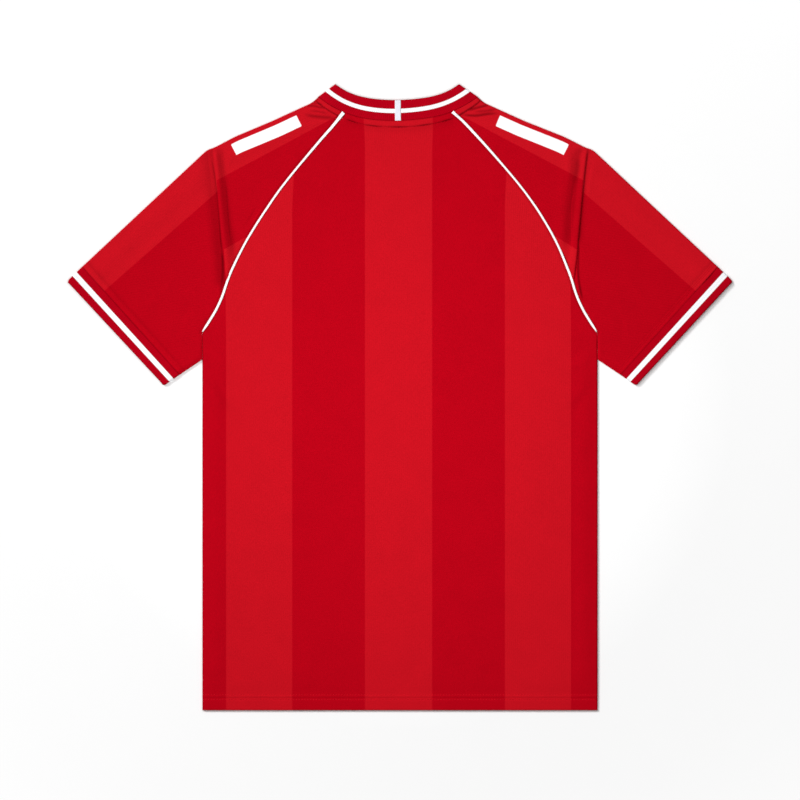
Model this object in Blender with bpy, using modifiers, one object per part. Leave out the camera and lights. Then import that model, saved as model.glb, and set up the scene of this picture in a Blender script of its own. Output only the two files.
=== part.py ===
"""Football jersey laid flat on its front, so that the back faces up.

Every piece that a maker would cut is its own object: front and back panel, two raglan sleeves,
the doubled rib collar and cuffs, the piping along the four raglan seams and the tape at the nape.
The lower layer lies flat on z = 0. The upper layer lies just above it, and the sleeves, cuffs and
collar are folded round from one layer to the other.

X runs across the body, +Y to the neck and +Z up, away from the surface that the jersey lies on.
Sizes below are in millimetres and MM turns them into Blender's metres.
"""

import math

import bmesh
import bpy
import numpy as np

MM = 0.001

# ---- cloth ----------------------------------------------------------------------------------
KNIT_WALL = 1.2  # wall of the body and sleeve knit
RIB_WALL = 1.8  # rib of the collar and cuffs, folded double
TAPE_WALL = 1.0  # piping and nape tape
SEAM_GAP = 0.3  # space kept between two pieces that are sewn together
UPPER_KNIT = 3.0  # height of the middle of the upper knit layer
UPPER_RIB = 3.3  # the same for the rib
LOWER_KNIT = KNIT_WALL / 2
LOWER_RIB = RIB_WALL / 2

# ---- outline, from the centre line outwards ---------------------------------------------------
BODY_HALF = 237.0  # half the width across the chest
HEM_Y = -375.0
HEM_CORNER = 2.0  # the front panel's hem corners are cut off by this much
UNDERARM_Y = 78.0  # where the raglan seams and the side seam meet
TUCK_END_Y = 45.6  # the sleeve comes out from beside the body here
FOLD_ROUNDING = 4.5  # how far from a corner of the shoulder fold its rounding starts

# The top fold of the shoulder and sleeve: corners from the neck to the cuff seam.
SHOULDER_FOLD = (
    # corner, x, y
    ("neck seam", 95.4, 360.5),
    ("foot of the collar", 102.4, 354.0),
    ("middle of the shoulder", 150.0, 332.1),
    ("outer shoulder", 197.5, 312.7),
    ("head of the crease", 222.5, 299.8),
    ("shoulder tip", 231.2, 297.0),
    ("cuff seam", 381.2, 156.8),
)

# The raglan seam, from the collar to the underarm.
RAGLAN_SEAM = (
    # place, x, y
    ("collar", 66.9, 341.0),
    ("yoke", 107.4, 295.8),
    ("shoulder blade", 148.8, 245.4),
    ("armhole", 181.5, 195.0),
    ("lower armhole", 202.2, 151.8),
    ("turn", 212.1, 123.0),
    ("gusset", 219.3, 106.8),
    ("sweep", 227.3, 93.0),
    ("underarm", 237.0, 78.0),
)

# The rib collar's edges, each a Bezier curve from the centre line to the fold at its tip.
COLLAR_BACK_SEAM = ((0.0, 332.0), (36.0, 332.0), (65.0, 335.6), (95.4, 360.5))
COLLAR_BACK_EDGE = ((0.0, 356.6), (33.0, 356.6), (56.0, 360.6), (75.0, 375.6))
COLLAR_FRONT_SEAM = ((0.0, 248.5), (45.0, 248.5), (78.4, 308.2), (95.4, 360.5))
COLLAR_FRONT_EDGE = ((0.0, 272.8), (36.0, 272.8), (62.0, 322.0), (75.0, 375.6))

# The rib cuff's outer edge, from its upper to its lower corner, and the sleeve's lower corner.
CUFF_OUTER_UPPER = (399.3, 139.5)
CUFF_OUTER_LOWER = (282.9, 14.3)
CUFF_SEAM_LOWER = (264.6, 27.2)
CUFF_CORNER = 3.5  # length of the rounding at the band's outer corners
CUFF_CORNER_INSET = 1.8  # how far the corner is drawn in

# ---- trims ------------------------------------------------------------------------------------
PIPING_WIDTH = 3.6
PIPING_ARCH = 0.7  # how far the piping's middle stands above its edges
BACK_PIPING_ENDS = (1.2, 2.0)  # how far it stops short of the collar and of the underarm
FRONT_PIPING_ENDS = (0.3, 1.0)
NAPE_TAPE_WIDTH = 7.4
NAPE_TAPE_MARGINS = (0.8, 0.4)  # from the collar's seam and from its edge

# ---- relief of the upper layer ------------------------------------------------------------------
HEM_DEPTH = 18.0  # depth of the turned-up hem
HEM_STEP = 0.3  # how far the doubled hem stands up
HEM_FALL = 34.0  # the upper layer comes down to the lower one over this length
HEM_DROP = 0.7
ALLOWANCE_WIDTH = 7.0  # seam allowance pressed towards the knit at the collar and cuffs
ALLOWANCE_STEP = 0.3
STEP_WIDTH = 2.0  # a step in the relief rises over this width
NECK_SAG = 0.6  # the nape sinks into the front neck opening
NECK_SAG_CENTRE = 350.0
NECK_SAG_REACH = (54.0, 58.0)  # half its width and its depth below the centre
SIDE_ROLL_WIDTH = 1.6  # the back's side edges turn down over this width
SIDE_ROLL_RAMP = 18.0  # the side roll grows to full over this length below the underarm
FOLD_PUFF = 1.3  # how far the cloth stands up beside the folded edges
FOLD_PUFF_FROM_EDGE = 17.0  # distance of the top of that swell from the edge
FOLD_PUFF_HALF_WIDTH = 16.0
SIDE_PUFF_RAMP = 60.0  # the swell along the side grows to full over this length

# The roll of spare cloth that runs from the shoulder tip down to the raglan seam.
CREASE_LINE = (
    # place, x, y
    ("lower end", 208.2, 142.0),
    ("low", 211.8, 179.0),
    ("middle", 214.2, 203.0),
    ("high", 219.5, 259.0),
    ("upper end", 223.6, 295.0),
)
CREASE_HEIGHT = 2.8
CREASE_HALF_WIDTH = 6.0
CREASE_FADE = 0.16  # share of its length over which it rises and dies
TROUGH_DEPTH = 0.7  # hollow on the body side of the crease
TROUGH_OFFSET = 10.0
TROUGH_HALF_WIDTH = 7.0
CREASE_CLEAR = 7.0  # the crease dies over this distance from the raglan seam

NECK_LEAN = -2.2  # the collar lies this far to the left of the middle of the body
NECK_LEAN_FROM = 296.0
NECK_LEAN_FULL = 342.0

# ---- materials: sRGB colour, roughness ----------------------------------------------------------
KNIT_RED = ("knit_red", (0.80, 0.06, 0.12), 0.75)
RIB_RED = ("rib_red", (0.72, 0.04, 0.10), 0.85)
TRIM_WHITE = ("trim_white", (0.96, 0.96, 0.97), 0.7)

FOLD_STEPS = 6  # facets round a fold
BACK_NECK_STEPS = 5  # facets of each half of the neck, from the centre line to the raglan seam
FRONT_NECK_STEPS = 9
NECK_ROWS = 5  # rows of the sleeve over which it takes up the curve of the neck
PATH_STEPS = 24  # points in each span of a smooth path
PATH_REACH = 12.0  # a shifted path is carried on this far past both its ends

# Rows of points on the back panel, by their distance from its upper edge and from the hem.
ROWS_FROM_TOP = np.array([0.0, ALLOWANCE_WIDTH, ALLOWANCE_WIDTH + STEP_WIDTH, 24.0, 44.0])
ROWS_FROM_HEM = np.array([HEM_FALL, HEM_DEPTH + STEP_WIDTH, HEM_DEPTH, HEM_DEPTH / 2, 0.0])
LONG_ROWS = 4  # rows between those two groups

# Places of the points across a piece, as shares of the way from its first edge to its last.
SLEEVE_UPPER = np.concatenate([[0.0, 0.016, 0.045], np.linspace(0.1, 1.0, 9)])
SLEEVE_LOWER = np.linspace(0.0, 1.0, 3)
CUFF_OUTWARDS = (0.12, 0.5, 0.86, 0.91, 0.95, 1.0)
CUFF_ALONG = (0.25, 0.5, 0.75)
COLLAR_OUTWARDS = (0.1, 0.5, 0.9, 1.0)


def ease(share):
    """0 to 1 with a level start and end, for a share from 0 to 1."""
    share = np.clip(share, 0.0, 1.0)
    return share * share * (3.0 - 2.0 * share)


def swell(offset, half_width):
    """A smooth hump: 1 at no offset, 0 from half_width on."""
    share = np.clip(np.abs(offset) / half_width, 0.0, 1.0)
    return np.cos(share * math.pi / 2.0) ** 2


def places(table):
    """The x and y columns of a table of named places."""
    return np.array([row[1:3] for row in table])


class Path:
    """A curve in plan, read by the distance along it."""

    def __init__(self, points):
        self.points = np.asarray(points, float)
        steps = np.linalg.norm(np.diff(self.points, axis=0), axis=1)
        self.run = np.concatenate([[0.0], np.cumsum(steps)])
        self.length = float(self.run[-1])

    def at(self, distance):
        """The points at these distances, with the ends carried on straight."""
        distance = np.atleast_1d(np.asarray(distance, float))
        inside = np.clip(distance, 0.0, self.length)
        found = np.stack(
            [np.interp(inside, self.run, self.points[:, k]) for k in (0, 1)], axis=1
        )
        return found + (distance - inside)[:, None] * self.direction(distance)

    def direction(self, distance):
        """Unit directions of the path at these distances."""
        distance = np.clip(np.atleast_1d(distance), 0.0, self.length)
        index = np.clip(
            np.searchsorted(self.run, distance) - 1, 0, len(self.points) - 2
        )
        step = self.points[index + 1] - self.points[index]
        return step / np.linalg.norm(step, axis=1)[:, None]

    def even(self, count):
        """This many points at even distances, both ends included."""
        return self.at(np.linspace(0.0, self.length, count))

    def shifted(self, amount):
        """The path moved to the left of its direction, with both ends carried on."""
        distance = np.linspace(-PATH_REACH, self.length + PATH_REACH, 12 * PATH_STEPS)
        normal = self.direction(distance)[:, ::-1] * (-1.0, 1.0)
        return Path(self.at(distance) + normal * amount)

    def between(self, start, end):
        """The stretch from one distance to another."""
        inner = self.run[(self.run > start) & (self.run < end)]
        return Path(self.at(np.concatenate([[start], inner, [end]])))


def smooth_path(points):
    """A path that passes smoothly through every point."""
    points = np.asarray(points, float)
    first = 2.0 * points[0] - points[1]
    last = 2.0 * points[-1] - points[-2]
    padded = np.vstack([first, points, last])
    share = np.linspace(0.0, 1.0, PATH_STEPS, endpoint=False)[:, None]
    spans = []
    for a, b, c, d in zip(padded, padded[1:], padded[2:], padded[3:]):
        linear = (c - a) * share
        square = (2.0 * a - 5.0 * b + 4.0 * c - d) * share**2
        cube = (3.0 * b - a - 3.0 * c + d) * share**3
        spans.append(b + 0.5 * (linear + square + cube))
    return Path(np.vstack([*spans, points[-1:]]))


def bezier_path(controls):
    """The cubic Bezier curve with these four control points."""
    a, b, c, d = (np.array(point) for point in controls)
    t = np.linspace(0.0, 1.0, 2 * PATH_STEPS)[:, None]
    s = 1.0 - t
    return Path(s**3 * a + 3 * s**2 * t * b + 3 * s * t**2 * c + t**3 * d)


def rounded_path(corners, reach):
    """Straight runs between the corners, with each inner corner rounded from reach before it."""
    corners = np.asarray(corners, float)
    share = np.linspace(0.0, 1.0, PATH_STEPS // 3)[:, None]
    runs = [corners[:1]]
    for before, corner, after in zip(corners, corners[1:], corners[2:]):
        start = corner + reach * (before - corner) / np.linalg.norm(before - corner)
        end = corner + reach * (after - corner) / np.linalg.norm(after - corner)
        runs.append((1 - share) ** 2 * start + 2 * share * (1 - share) * corner + share**2 * end)
    return Path(np.vstack([*runs, corners[-1:]]))


FOLD = rounded_path(places(SHOULDER_FOLD), FOLD_ROUNDING)
RAGLAN = smooth_path(places(RAGLAN_SEAM))
BACK_NECK = bezier_path(COLLAR_BACK_SEAM)
BACK_EDGE = bezier_path(COLLAR_BACK_EDGE)
FRONT_NECK = bezier_path(COLLAR_FRONT_SEAM)
FRONT_EDGE = bezier_path(COLLAR_FRONT_EDGE)
COLLAR_WIDTH = COLLAR_BACK_EDGE[0][1] - COLLAR_BACK_SEAM[0][1]
CREASE = smooth_path(places(CREASE_LINE))


def collar_line(seam, edge, across):
    """A line along the collar at a share of its width, from the centre line to its fold."""
    count = 4 * PATH_STEPS
    return Path(seam.even(count) + across * (edge.even(count) - seam.even(count)))


def crease_rise(x, y):
    """Height that the shoulder crease and its hollow add at points of the upper layer."""
    along = (y - CREASE.points[0, 1]) / (CREASE.points[-1, 1] - CREASE.points[0, 1])
    envelope = ease(np.minimum(along, 1.0 - along) / CREASE_FADE)
    offset = x - np.interp(y, CREASE.points[:, 1], CREASE.points[:, 0])
    ridge = CREASE_HEIGHT * swell(offset, CREASE_HALF_WIDTH)
    hollow = TROUGH_DEPTH * swell(offset + TROUGH_OFFSET, TROUGH_HALF_WIDTH)
    return envelope * (ridge - hollow)


def fold_distance(x, y):
    """Distance of plan points from the shoulder fold."""
    here = np.stack([np.atleast_1d(x), np.atleast_1d(y)], axis=1)[:, None, :]
    start, step = FOLD.points[:-1], np.diff(FOLD.points, axis=0)
    share = ((here - start) * step).sum(axis=2) / (step**2).sum(axis=1)
    nearest = start + np.clip(share, 0.0, 1.0)[:, :, None] * step
    return np.linalg.norm(here - nearest, axis=2).min(axis=1)


def fold_puff(x, y):
    """Height of the swell beside the shoulder fold and beside the body's side edge."""
    shoulder = swell(fold_distance(x, y) - FOLD_PUFF_FROM_EDGE, FOLD_PUFF_HALF_WIDTH)
    side = swell(BODY_HALF - x - FOLD_PUFF_FROM_EDGE, FOLD_PUFF_HALF_WIDTH)
    below = ease((UNDERARM_Y - y) / SIDE_PUFF_RAMP) * ease((y - HEM_Y) / SIDE_PUFF_RAMP)
    return FOLD_PUFF * (shoulder + side * below)


def upper_rise(x, y):
    """Height of the middle of the upper knit layer over plan points."""
    x = np.abs(x)
    from_hem = y - HEM_Y
    drop = HEM_DROP * (1.0 - ease(from_hem / HEM_FALL))
    hem = HEM_STEP * (1.0 - ease((from_hem - HEM_DEPTH) / STEP_WIDTH))
    sag_from_centre = np.hypot(x / NECK_SAG_REACH[0], (y - NECK_SAG_CENTRE) / NECK_SAG_REACH[1])
    sag = NECK_SAG * swell(sag_from_centre, 1.0)
    return UPPER_KNIT - drop + hem - sag + fold_puff(x, y)


def lean(y):
    """Sideways shift of the neck, none below the shoulders."""
    return NECK_LEAN * ease((y - NECK_LEAN_FROM) / (NECK_LEAN_FULL - NECK_LEAN_FROM))


def raglan_edge(shift, neck):
    """The raglan seam moved sideways, from where it leaves the neck curve to the underarm."""
    path = RAGLAN.shifted(shift)
    neck_y = np.interp(path.points[:, 0], neck.points[:, 0], neck.points[:, 1])
    below = np.nonzero(path.points[:, 1] < neck_y - SEAM_GAP / 2)[0][0]
    past = np.nonzero(path.points[:, 0] > BODY_HALF)[0][0]
    return path.between(path.run[below], path.run[past])


# ---- scene helpers ------------------------------------------------------------------------------
def clear_scene():
    """Remove every object that the scene starts with."""
    for obj in list(bpy.data.objects):
        bpy.data.objects.remove(obj, do_unlink=True)


def linear(channel):
    """A linear value for one sRGB channel."""
    return channel / 12.92 if channel <= 0.04045 else ((channel + 0.055) / 1.055) ** 2.4


def finish(spec):
    """The material with this name, colour and roughness."""
    name, colour, roughness = spec
    material = bpy.data.materials.get(name)
    if material is None:
        material = bpy.data.materials.new(name)
        material.use_nodes = True
        shader = material.node_tree.nodes["Principled BSDF"]
        shader.inputs["Base Color"].default_value = (*map(linear, colour), 1.0)
        shader.inputs["Roughness"].default_value = roughness
        shader.inputs["Metallic"].default_value = 0.0
    return material


def add_object(name, data, spec):
    """Put the data in the jersey's collection under this name, with its finish."""
    data.materials.append(finish(spec))
    obj = bpy.data.objects.new(name, data)
    bpy.data.collections["football_jersey"].objects.link(obj)
    return obj


def cloth_sheet(name, points, wall, spec, closed=False):
    """Cloth with a wall round a grid of middle points, an array of columns by rows by (x, y, z)."""
    columns, rows = points.shape[:2]
    bm = bmesh.new()
    bmesh.ops.create_grid(bm, x_segments=columns - 1, y_segments=rows - 1, size=1.0)
    for vert in bm.verts:
        column = round((vert.co.x + 1.0) / 2.0 * (columns - 1))
        row = round((vert.co.y + 1.0) / 2.0 * (rows - 1))
        x, y, z = points[column, row]
        vert.co = ((x + lean(y)) * MM, y * MM, z * MM)
    if closed:
        bmesh.ops.remove_doubles(bm, verts=bm.verts, dist=1e-6)
    mesh = bpy.data.meshes.new(name)
    bm.to_mesh(mesh)
    bm.free()
    mesh.shade_smooth()
    obj = add_object(name, mesh, spec)
    solidify = obj.modifiers.new("wall", "SOLIDIFY")
    solidify.thickness = wall * MM
    solidify.offset = 0.0
    solidify.use_even_offset = True
    return obj


def flat_cloth(name, outline, wall, spec):
    """Cloth cut to a closed outline in plan and lying flat on z = 0."""
    curve = bpy.data.curves.new(name, "CURVE")
    curve.dimensions = "2D"
    curve.fill_mode = "BOTH"
    curve.extrude = wall / 2.0 * MM
    spline = curve.splines.new("POLY")
    spline.points.add(len(outline) - 1)
    for point, (x, y) in zip(spline.points, outline):
        point.co = ((x + lean(y)) * MM, y * MM, 0.0, 1.0)
    spline.use_cyclic_u = True
    obj = add_object(name, curve, spec)
    obj.location.z = wall / 2.0 * MM
    return obj


def strip(left, right, heights):
    """Columns of points across the upper layer between two paths, one for each of the heights."""
    start, end = (path.at(raglan_places() * path.length) for path in (left, right))
    shares = np.linspace(0.0, 1.0, len(heights))
    columns = []
    for share, lift in zip(shares, heights):
        plan = start + (end - start) * share
        z = upper_rise(plan[:, 0], plan[:, 1]) + lift
        columns.append(np.column_stack([plan, z]))
    return np.array(columns)


def folded_row(paths, floor, wall, shares):
    """A row of points in along the lower path, round the fold and back out along the upper one.

    paths are the upper and the lower path, which both run to the fold, and shares are the
    places to put a point on each, from 0 at its start to 1 where the fold begins.
    """
    upper, lower = paths
    radius = (upper_rise(*upper.points[-1])[0] - LOWER_KNIT) / 2
    upper_stop, lower_stop = (path.length - radius - wall / 2 for path in paths)
    top = upper.at(shares[0] * upper_stop)
    low = lower.at(shares[1] * lower_stop)
    top_z = upper_rise(top[:, 0], top[:, 1]) + floor - LOWER_KNIT
    out_top, out_low = upper.direction(upper_stop)[0], lower.direction(lower_stop)[0]
    fold = []
    for turn in np.linspace(-math.pi / 2, math.pi / 2, FOLD_STEPS + 1)[1:-1]:
        share = (1.0 + math.sin(turn)) / 2
        out = out_low + share * (out_top - out_low)
        plan = low[-1] + share * (top[-1] - low[-1])
        plan = plan + out / np.linalg.norm(out) * radius * math.cos(turn)
        fold.append((*plan, floor + share * (top_z[-1] - floor)))
    lower_row = np.column_stack([low, np.full(len(low), floor)])
    return np.vstack([lower_row, fold, np.column_stack([top, top_z])[::-1]])


def mirrored(points, side):
    """The points on their own side of the centre line."""
    return points * (side, 1.0, 1.0)


# ---- body -----------------------------------------------------------------------------------------
def raglan_places():
    """Places of the rows of points along the raglan seam, from 0 at the neck to 1."""
    return np.array([place for _, place in sleeve_stations() if place <= 1.0])


def top_boundary(neck, raglan, neck_steps):
    """The panel's upper edge, from the centre line along the neck and the raglan seam."""
    at = neck.run[np.argmin(np.linalg.norm(neck.points - raglan.points[0], axis=1))]
    along_neck = neck.between(0.0, at).even(neck_steps + 1)[:-1]
    along_neck[:, 1] -= SEAM_GAP / 2
    return np.vstack([along_neck, raglan.at(raglan_places() * raglan.length)])


def build_back_panel():
    """The back: one sheet on top, its side edges rolled down to the front panel."""
    side = BODY_HALF - KNIT_WALL / 2
    inner = side - SIDE_ROLL_WIDTH
    edge = raglan_edge(-SEAM_GAP / 2, BACK_NECK)
    top = top_boundary(BACK_NECK, edge, BACK_NECK_STEPS)
    top = top[top[:, 0] < inner - 2.0 * SIDE_ROLL_WIDTH]
    turns = np.linspace(0.0, math.pi / 2, FOLD_STEPS - 1)
    roll_end = KNIT_WALL + SEAM_GAP

    def column(x, y_top, turn):
        long_run = np.linspace(y_top - ROWS_FROM_TOP[-1], HEM_Y + ROWS_FROM_HEM[0], LONG_ROWS + 2)[1:-1]
        y = np.concatenate([y_top - ROWS_FROM_TOP, long_run, HEM_Y + ROWS_FROM_HEM])
        z = upper_rise(np.full_like(y, x), y)
        if x < edge.points[0, 0]:
            z += ALLOWANCE_STEP * (y_top - y <= ALLOWANCE_WIDTH)
        if turn is None:
            return np.column_stack([np.full_like(y, x), y, z])
        radius = z - roll_end
        ramp = ease((UNDERARM_Y - y) / SIDE_ROLL_RAMP)
        across = side - radius * (1.0 - math.sin(turn))
        return np.column_stack([across, y, z - ramp * radius * (1.0 - math.cos(turn))])

    half = [column(x, y, None) for x, y in top]
    for turn in turns:
        across = inner + SIDE_ROLL_WIDTH * math.sin(turn)
        side_top = np.interp(across, edge.points[:, 0], edge.points[:, 1]) - SEAM_GAP
        half.append(column(inner, side_top, turn))
    half = np.array(half)
    other = mirrored(half[:0:-1], -1)
    cloth_sheet("back_panel", np.vstack([other, half]), KNIT_WALL, KNIT_RED)


def build_front_panel():
    """The front: one flat sheet underneath, with the deeper front neck."""
    edge = raglan_edge(-(PIPING_WIDTH / 2 + SEAM_GAP), FRONT_NECK)
    top = top_boundary(FRONT_NECK, edge, FRONT_NECK_STEPS)
    corner = [[BODY_HALF, HEM_Y + HEM_CORNER], [BODY_HALF - HEM_CORNER, HEM_Y]]
    half = np.vstack([top, corner])
    half[:, 0] = np.minimum(half[:, 0], BODY_HALF)
    other = half[::-1] * (-1.0, 1.0)
    flat_cloth("front_panel", np.vstack([half, other[:-1]]), KNIT_WALL, KNIT_RED)


# ---- sleeves --------------------------------------------------------------------------------------
def sleeve_stations():
    """Rows of the sleeve: distance on the fold, and place on the inner boundary.

    The inner boundary counts 0 to 1 along the raglan seam, 1 to 2 beside the body and 2 to 3
    along the underarm seam to the cuff.
    """
    crease_head = FOLD.run[np.argmin(np.abs(FOLD.points[:, 0] - CREASE.points[-1, 0]))]
    crease_foot = RAGLAN.run[np.argmin(np.abs(RAGLAN.points[:, 1] - CREASE.points[0, 1]))]
    foot = crease_foot / RAGLAN.length
    table = (
        # place, distance on the fold, place on the inner boundary, rows up to here
        ("neck", 0.0, 0.0, 0),
        ("before the crease", crease_head - 18.0, foot - 0.055, 9),
        ("crease", crease_head, foot, 8),
        ("past the crease", crease_head + 12.0, foot + 0.04, 6),
        ("underarm", crease_head + 112.0, 1.0, 5),
        ("out of the tuck", crease_head + 158.0, 2.0, 3),
        ("seam allowance", FOLD.length - ALLOWANCE_WIDTH, 2.79, 3),
        ("cuff", FOLD.length, 3.0, 2),
    )
    rows = [(0.0, 0.0)]
    for (_, fold_from, inner_from, _), (_, fold_to, inner_to, steps) in zip(table, table[1:]):
        for share in np.linspace(0.0, 1.0, steps + 1)[1:]:
            on_fold = fold_from + share * (fold_to - fold_from)
            rows.append((on_fold, inner_from + share * (inner_to - inner_from)))
    return rows


def inner_point(raglan, place):
    """The point at this place on the sleeve's inner boundary."""
    if place <= 1.0:
        return raglan.at(place * raglan.length)[0]
    out_of_tuck = np.array((BODY_HALF + SEAM_GAP, TUCK_END_Y))
    start, end = (raglan.points[-1], out_of_tuck) if place <= 2.0 else (out_of_tuck, CUFF_SEAM_LOWER)
    share = place - 1.0 if place <= 2.0 else place - 2.0
    return start + share * (np.asarray(end) - start)


def neck_row(raglan_start, seam, edge):
    """The sleeve's end at the collar, on one layer: from the raglan seam to the fold."""
    line = collar_line(seam, edge, -SEAM_GAP / COLLAR_WIDTH)
    start = line.run[np.argmin(np.linalg.norm(line.points - raglan_start, axis=1))]
    return line.between(start, line.length)


def build_sleeve(name, side):
    """A raglan sleeve: the lower layer, the fold along the shoulder and the upper layer."""
    upper_edge = raglan_edge(SEAM_GAP / 2, BACK_NECK)
    lower_edge = raglan_edge(PIPING_WIDTH / 2 + SEAM_GAP, FRONT_NECK)
    neck_paths = (
        neck_row(upper_edge.points[0], BACK_NECK, BACK_EDGE),
        neck_row(lower_edge.points[0], FRONT_NECK, FRONT_EDGE),
    )
    rows = []
    for on_fold, place in sleeve_stations():
        fold_point = FOLD.at(on_fold)[0]
        upper = Path([inner_point(upper_edge, place), fold_point])
        lower = Path([inner_point(lower_edge, place), fold_point])
        row = folded_row((upper, lower), LOWER_KNIT, KNIT_WALL, (SLEEVE_UPPER, SLEEVE_LOWER))
        top = row[-len(SLEEVE_UPPER) :]
        clear = ease(np.linalg.norm(top[:, :2] - upper.points[0], axis=1) / CREASE_CLEAR)
        top[:, 2] += crease_rise(top[:, 0], top[:, 1]) * clear
        top[:, 2] += ALLOWANCE_STEP * (FOLD.length - on_fold < ALLOWANCE_WIDTH + SEAM_GAP)
        beside_body = ease((UNDERARM_Y - upper.points[0, 1]) / SIDE_ROLL_RAMP)
        row[-1, 2] -= beside_body * (UPPER_KNIT - 1.5 * KNIT_WALL - SEAM_GAP)
        rows.append(row)
    straight = rows[0]
    curved = folded_row(neck_paths, LOWER_KNIT, KNIT_WALL, (SLEEVE_UPPER, SLEEVE_LOWER))
    for count, row in enumerate(rows[:NECK_ROWS]):
        row += (curved - straight) * (1.0 - count / NECK_ROWS)
    points = np.array(rows).transpose(1, 0, 2)
    cloth_sheet(name, mirrored(points, side), KNIT_WALL, KNIT_RED)


# ---- rib bands ------------------------------------------------------------------------------------
def cuff_ends(across):
    """The band's upper and lower fold points and the direction between them.

    across is the share of the way outwards, from 0 at the seam to 1 at the cuff's edge.
    """
    seam = (np.array(SHOULDER_FOLD[-1][1:3]), np.array(CUFF_SEAM_LOWER))
    outer = (np.array(CUFF_OUTER_UPPER), np.array(CUFF_OUTER_LOWER))
    width = np.linalg.norm(outer[0] - seam[0])
    past = max(0.0, across * width - (width - CUFF_CORNER)) / CUFF_CORNER
    inset = CUFF_CORNER_INSET * past**2
    upper = seam[0] + across * (outer[0] - seam[0])
    lower = seam[1] + across * (outer[1] - seam[1])
    along = (lower - upper) / np.linalg.norm(lower - upper)
    return upper + along * inset, lower - along * inset, along


def build_cuff(name, side):
    """A doubled rib band folded flat: a closed ring round the sleeve's end."""
    radius = (UPPER_RIB - LOWER_RIB) / 2
    turns = np.linspace(-math.pi / 2, math.pi / 2, FOLD_STEPS + 1)
    first = SEAM_GAP / np.linalg.norm(np.array(CUFF_OUTER_UPPER) - SHOULDER_FOLD[-1][1:3])
    rings = []
    for across in (first, *CUFF_OUTWARDS):
        upper, lower, along = cuff_ends(across)
        upper = upper + along * (radius + RIB_WALL / 2)
        lower = lower - along * (radius + RIB_WALL / 2)
        middle = LOWER_RIB + radius
        ring = [(*(upper - along * radius * math.cos(a)), middle + radius * math.sin(a)) for a in turns]
        for share in CUFF_ALONG:
            ring.append((*(upper + share * (lower - upper)), UPPER_RIB))
        ring += [(*(lower + along * radius * math.cos(a)), middle - radius * math.sin(a)) for a in turns]
        for share in CUFF_ALONG:
            ring.append((*(lower + share * (upper - lower)), LOWER_RIB))
        ring.append(ring[0])
        rings.append(ring)
    points = np.array(rings).transpose(1, 0, 2)
    cloth_sheet(name, mirrored(points, side), RIB_WALL, RIB_RED, closed=True)


def collar_shares(neck, corner, neck_steps):
    """Places for the points along a neck curve, one of them at the raglan seam's corner."""
    at = neck.run[np.argmin(np.linalg.norm(neck.points - corner, axis=1))] / neck.length
    return np.concatenate([np.linspace(0.0, at, neck_steps + 1)[:-1], np.linspace(at, 1.0, 5)])


def build_collar():
    """The doubled rib collar folded flat: a closed ring, its front half lying lower."""
    shares = (
        collar_shares(BACK_NECK, raglan_edge(-SEAM_GAP / 2, BACK_NECK).points[0], BACK_NECK_STEPS),
        collar_shares(
            FRONT_NECK,
            raglan_edge(-PIPING_WIDTH / 2 - SEAM_GAP, FRONT_NECK).points[0],
            FRONT_NECK_STEPS,
        ),
    )
    rings = []
    for across in (SEAM_GAP / 2 / COLLAR_WIDTH, *COLLAR_OUTWARDS):
        paths = (
            collar_line(BACK_NECK, BACK_EDGE, across),
            collar_line(FRONT_NECK, FRONT_EDGE, across),
        )
        half = folded_row(paths, LOWER_RIB, RIB_WALL, shares)
        rings.append(np.vstack([half, mirrored(half[-2::-1], -1)]))
    points = np.array(rings).transpose(1, 0, 2)
    cloth_sheet("collar", points, RIB_WALL, RIB_RED, closed=True)


# ---- trims ----------------------------------------------------------------------------------------
def build_back_piping(name, side):
    """Piping that rides over the back raglan seam in a low arch."""
    half = PIPING_WIDTH / 2
    lift = KNIT_WALL / 2 + SEAM_GAP + TAPE_WALL / 2
    left = raglan_edge(-half, BACK_NECK)
    right = raglan_edge(half, BACK_NECK)
    start, end = BACK_PIPING_ENDS
    left, right = (path.between(start, path.length - end) for path in (left, right))
    points = strip(left, right, (lift, lift + PIPING_ARCH, lift))
    cloth_sheet(name, mirrored(points, side), TAPE_WALL, TRIM_WHITE)


def build_front_piping(name, side):
    """Piping pressed flat between the front panel and the sleeve, on the underside."""
    half = PIPING_WIDTH / 2
    left = raglan_edge(-half, FRONT_NECK)
    right = raglan_edge(half, FRONT_NECK)
    start, end = FRONT_PIPING_ENDS
    left, right = (path.between(start, path.length - end) for path in (left, right))
    left, right = (path.at(raglan_places() * path.length) for path in (left, right))
    outline = np.vstack([left, right[::-1]]) * (side, 1.0)
    flat_cloth(name, outline, KNIT_WALL, TRIM_WHITE)


def build_nape_tape():
    """The short tape that crosses the collar at the nape."""
    seam, edge = COLLAR_BACK_SEAM[0][1], COLLAR_BACK_EDGE[0][1]
    across = np.linspace(-NAPE_TAPE_WIDTH / 2, NAPE_TAPE_WIDTH / 2, 3)
    along = np.linspace(seam + NAPE_TAPE_MARGINS[0], edge - NAPE_TAPE_MARGINS[1], 5)
    x, y = np.meshgrid(across, along, indexing="ij")
    plan = np.column_stack([x.ravel(), y.ravel()])
    z = upper_rise(plan[:, 0], plan[:, 1]) + UPPER_RIB - UPPER_KNIT
    z += RIB_WALL / 2 + SEAM_GAP + TAPE_WALL / 2
    points = np.column_stack([plan, z]).reshape(*x.shape, 3)
    cloth_sheet("nape_tape", points, TAPE_WALL, TRIM_WHITE)


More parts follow.
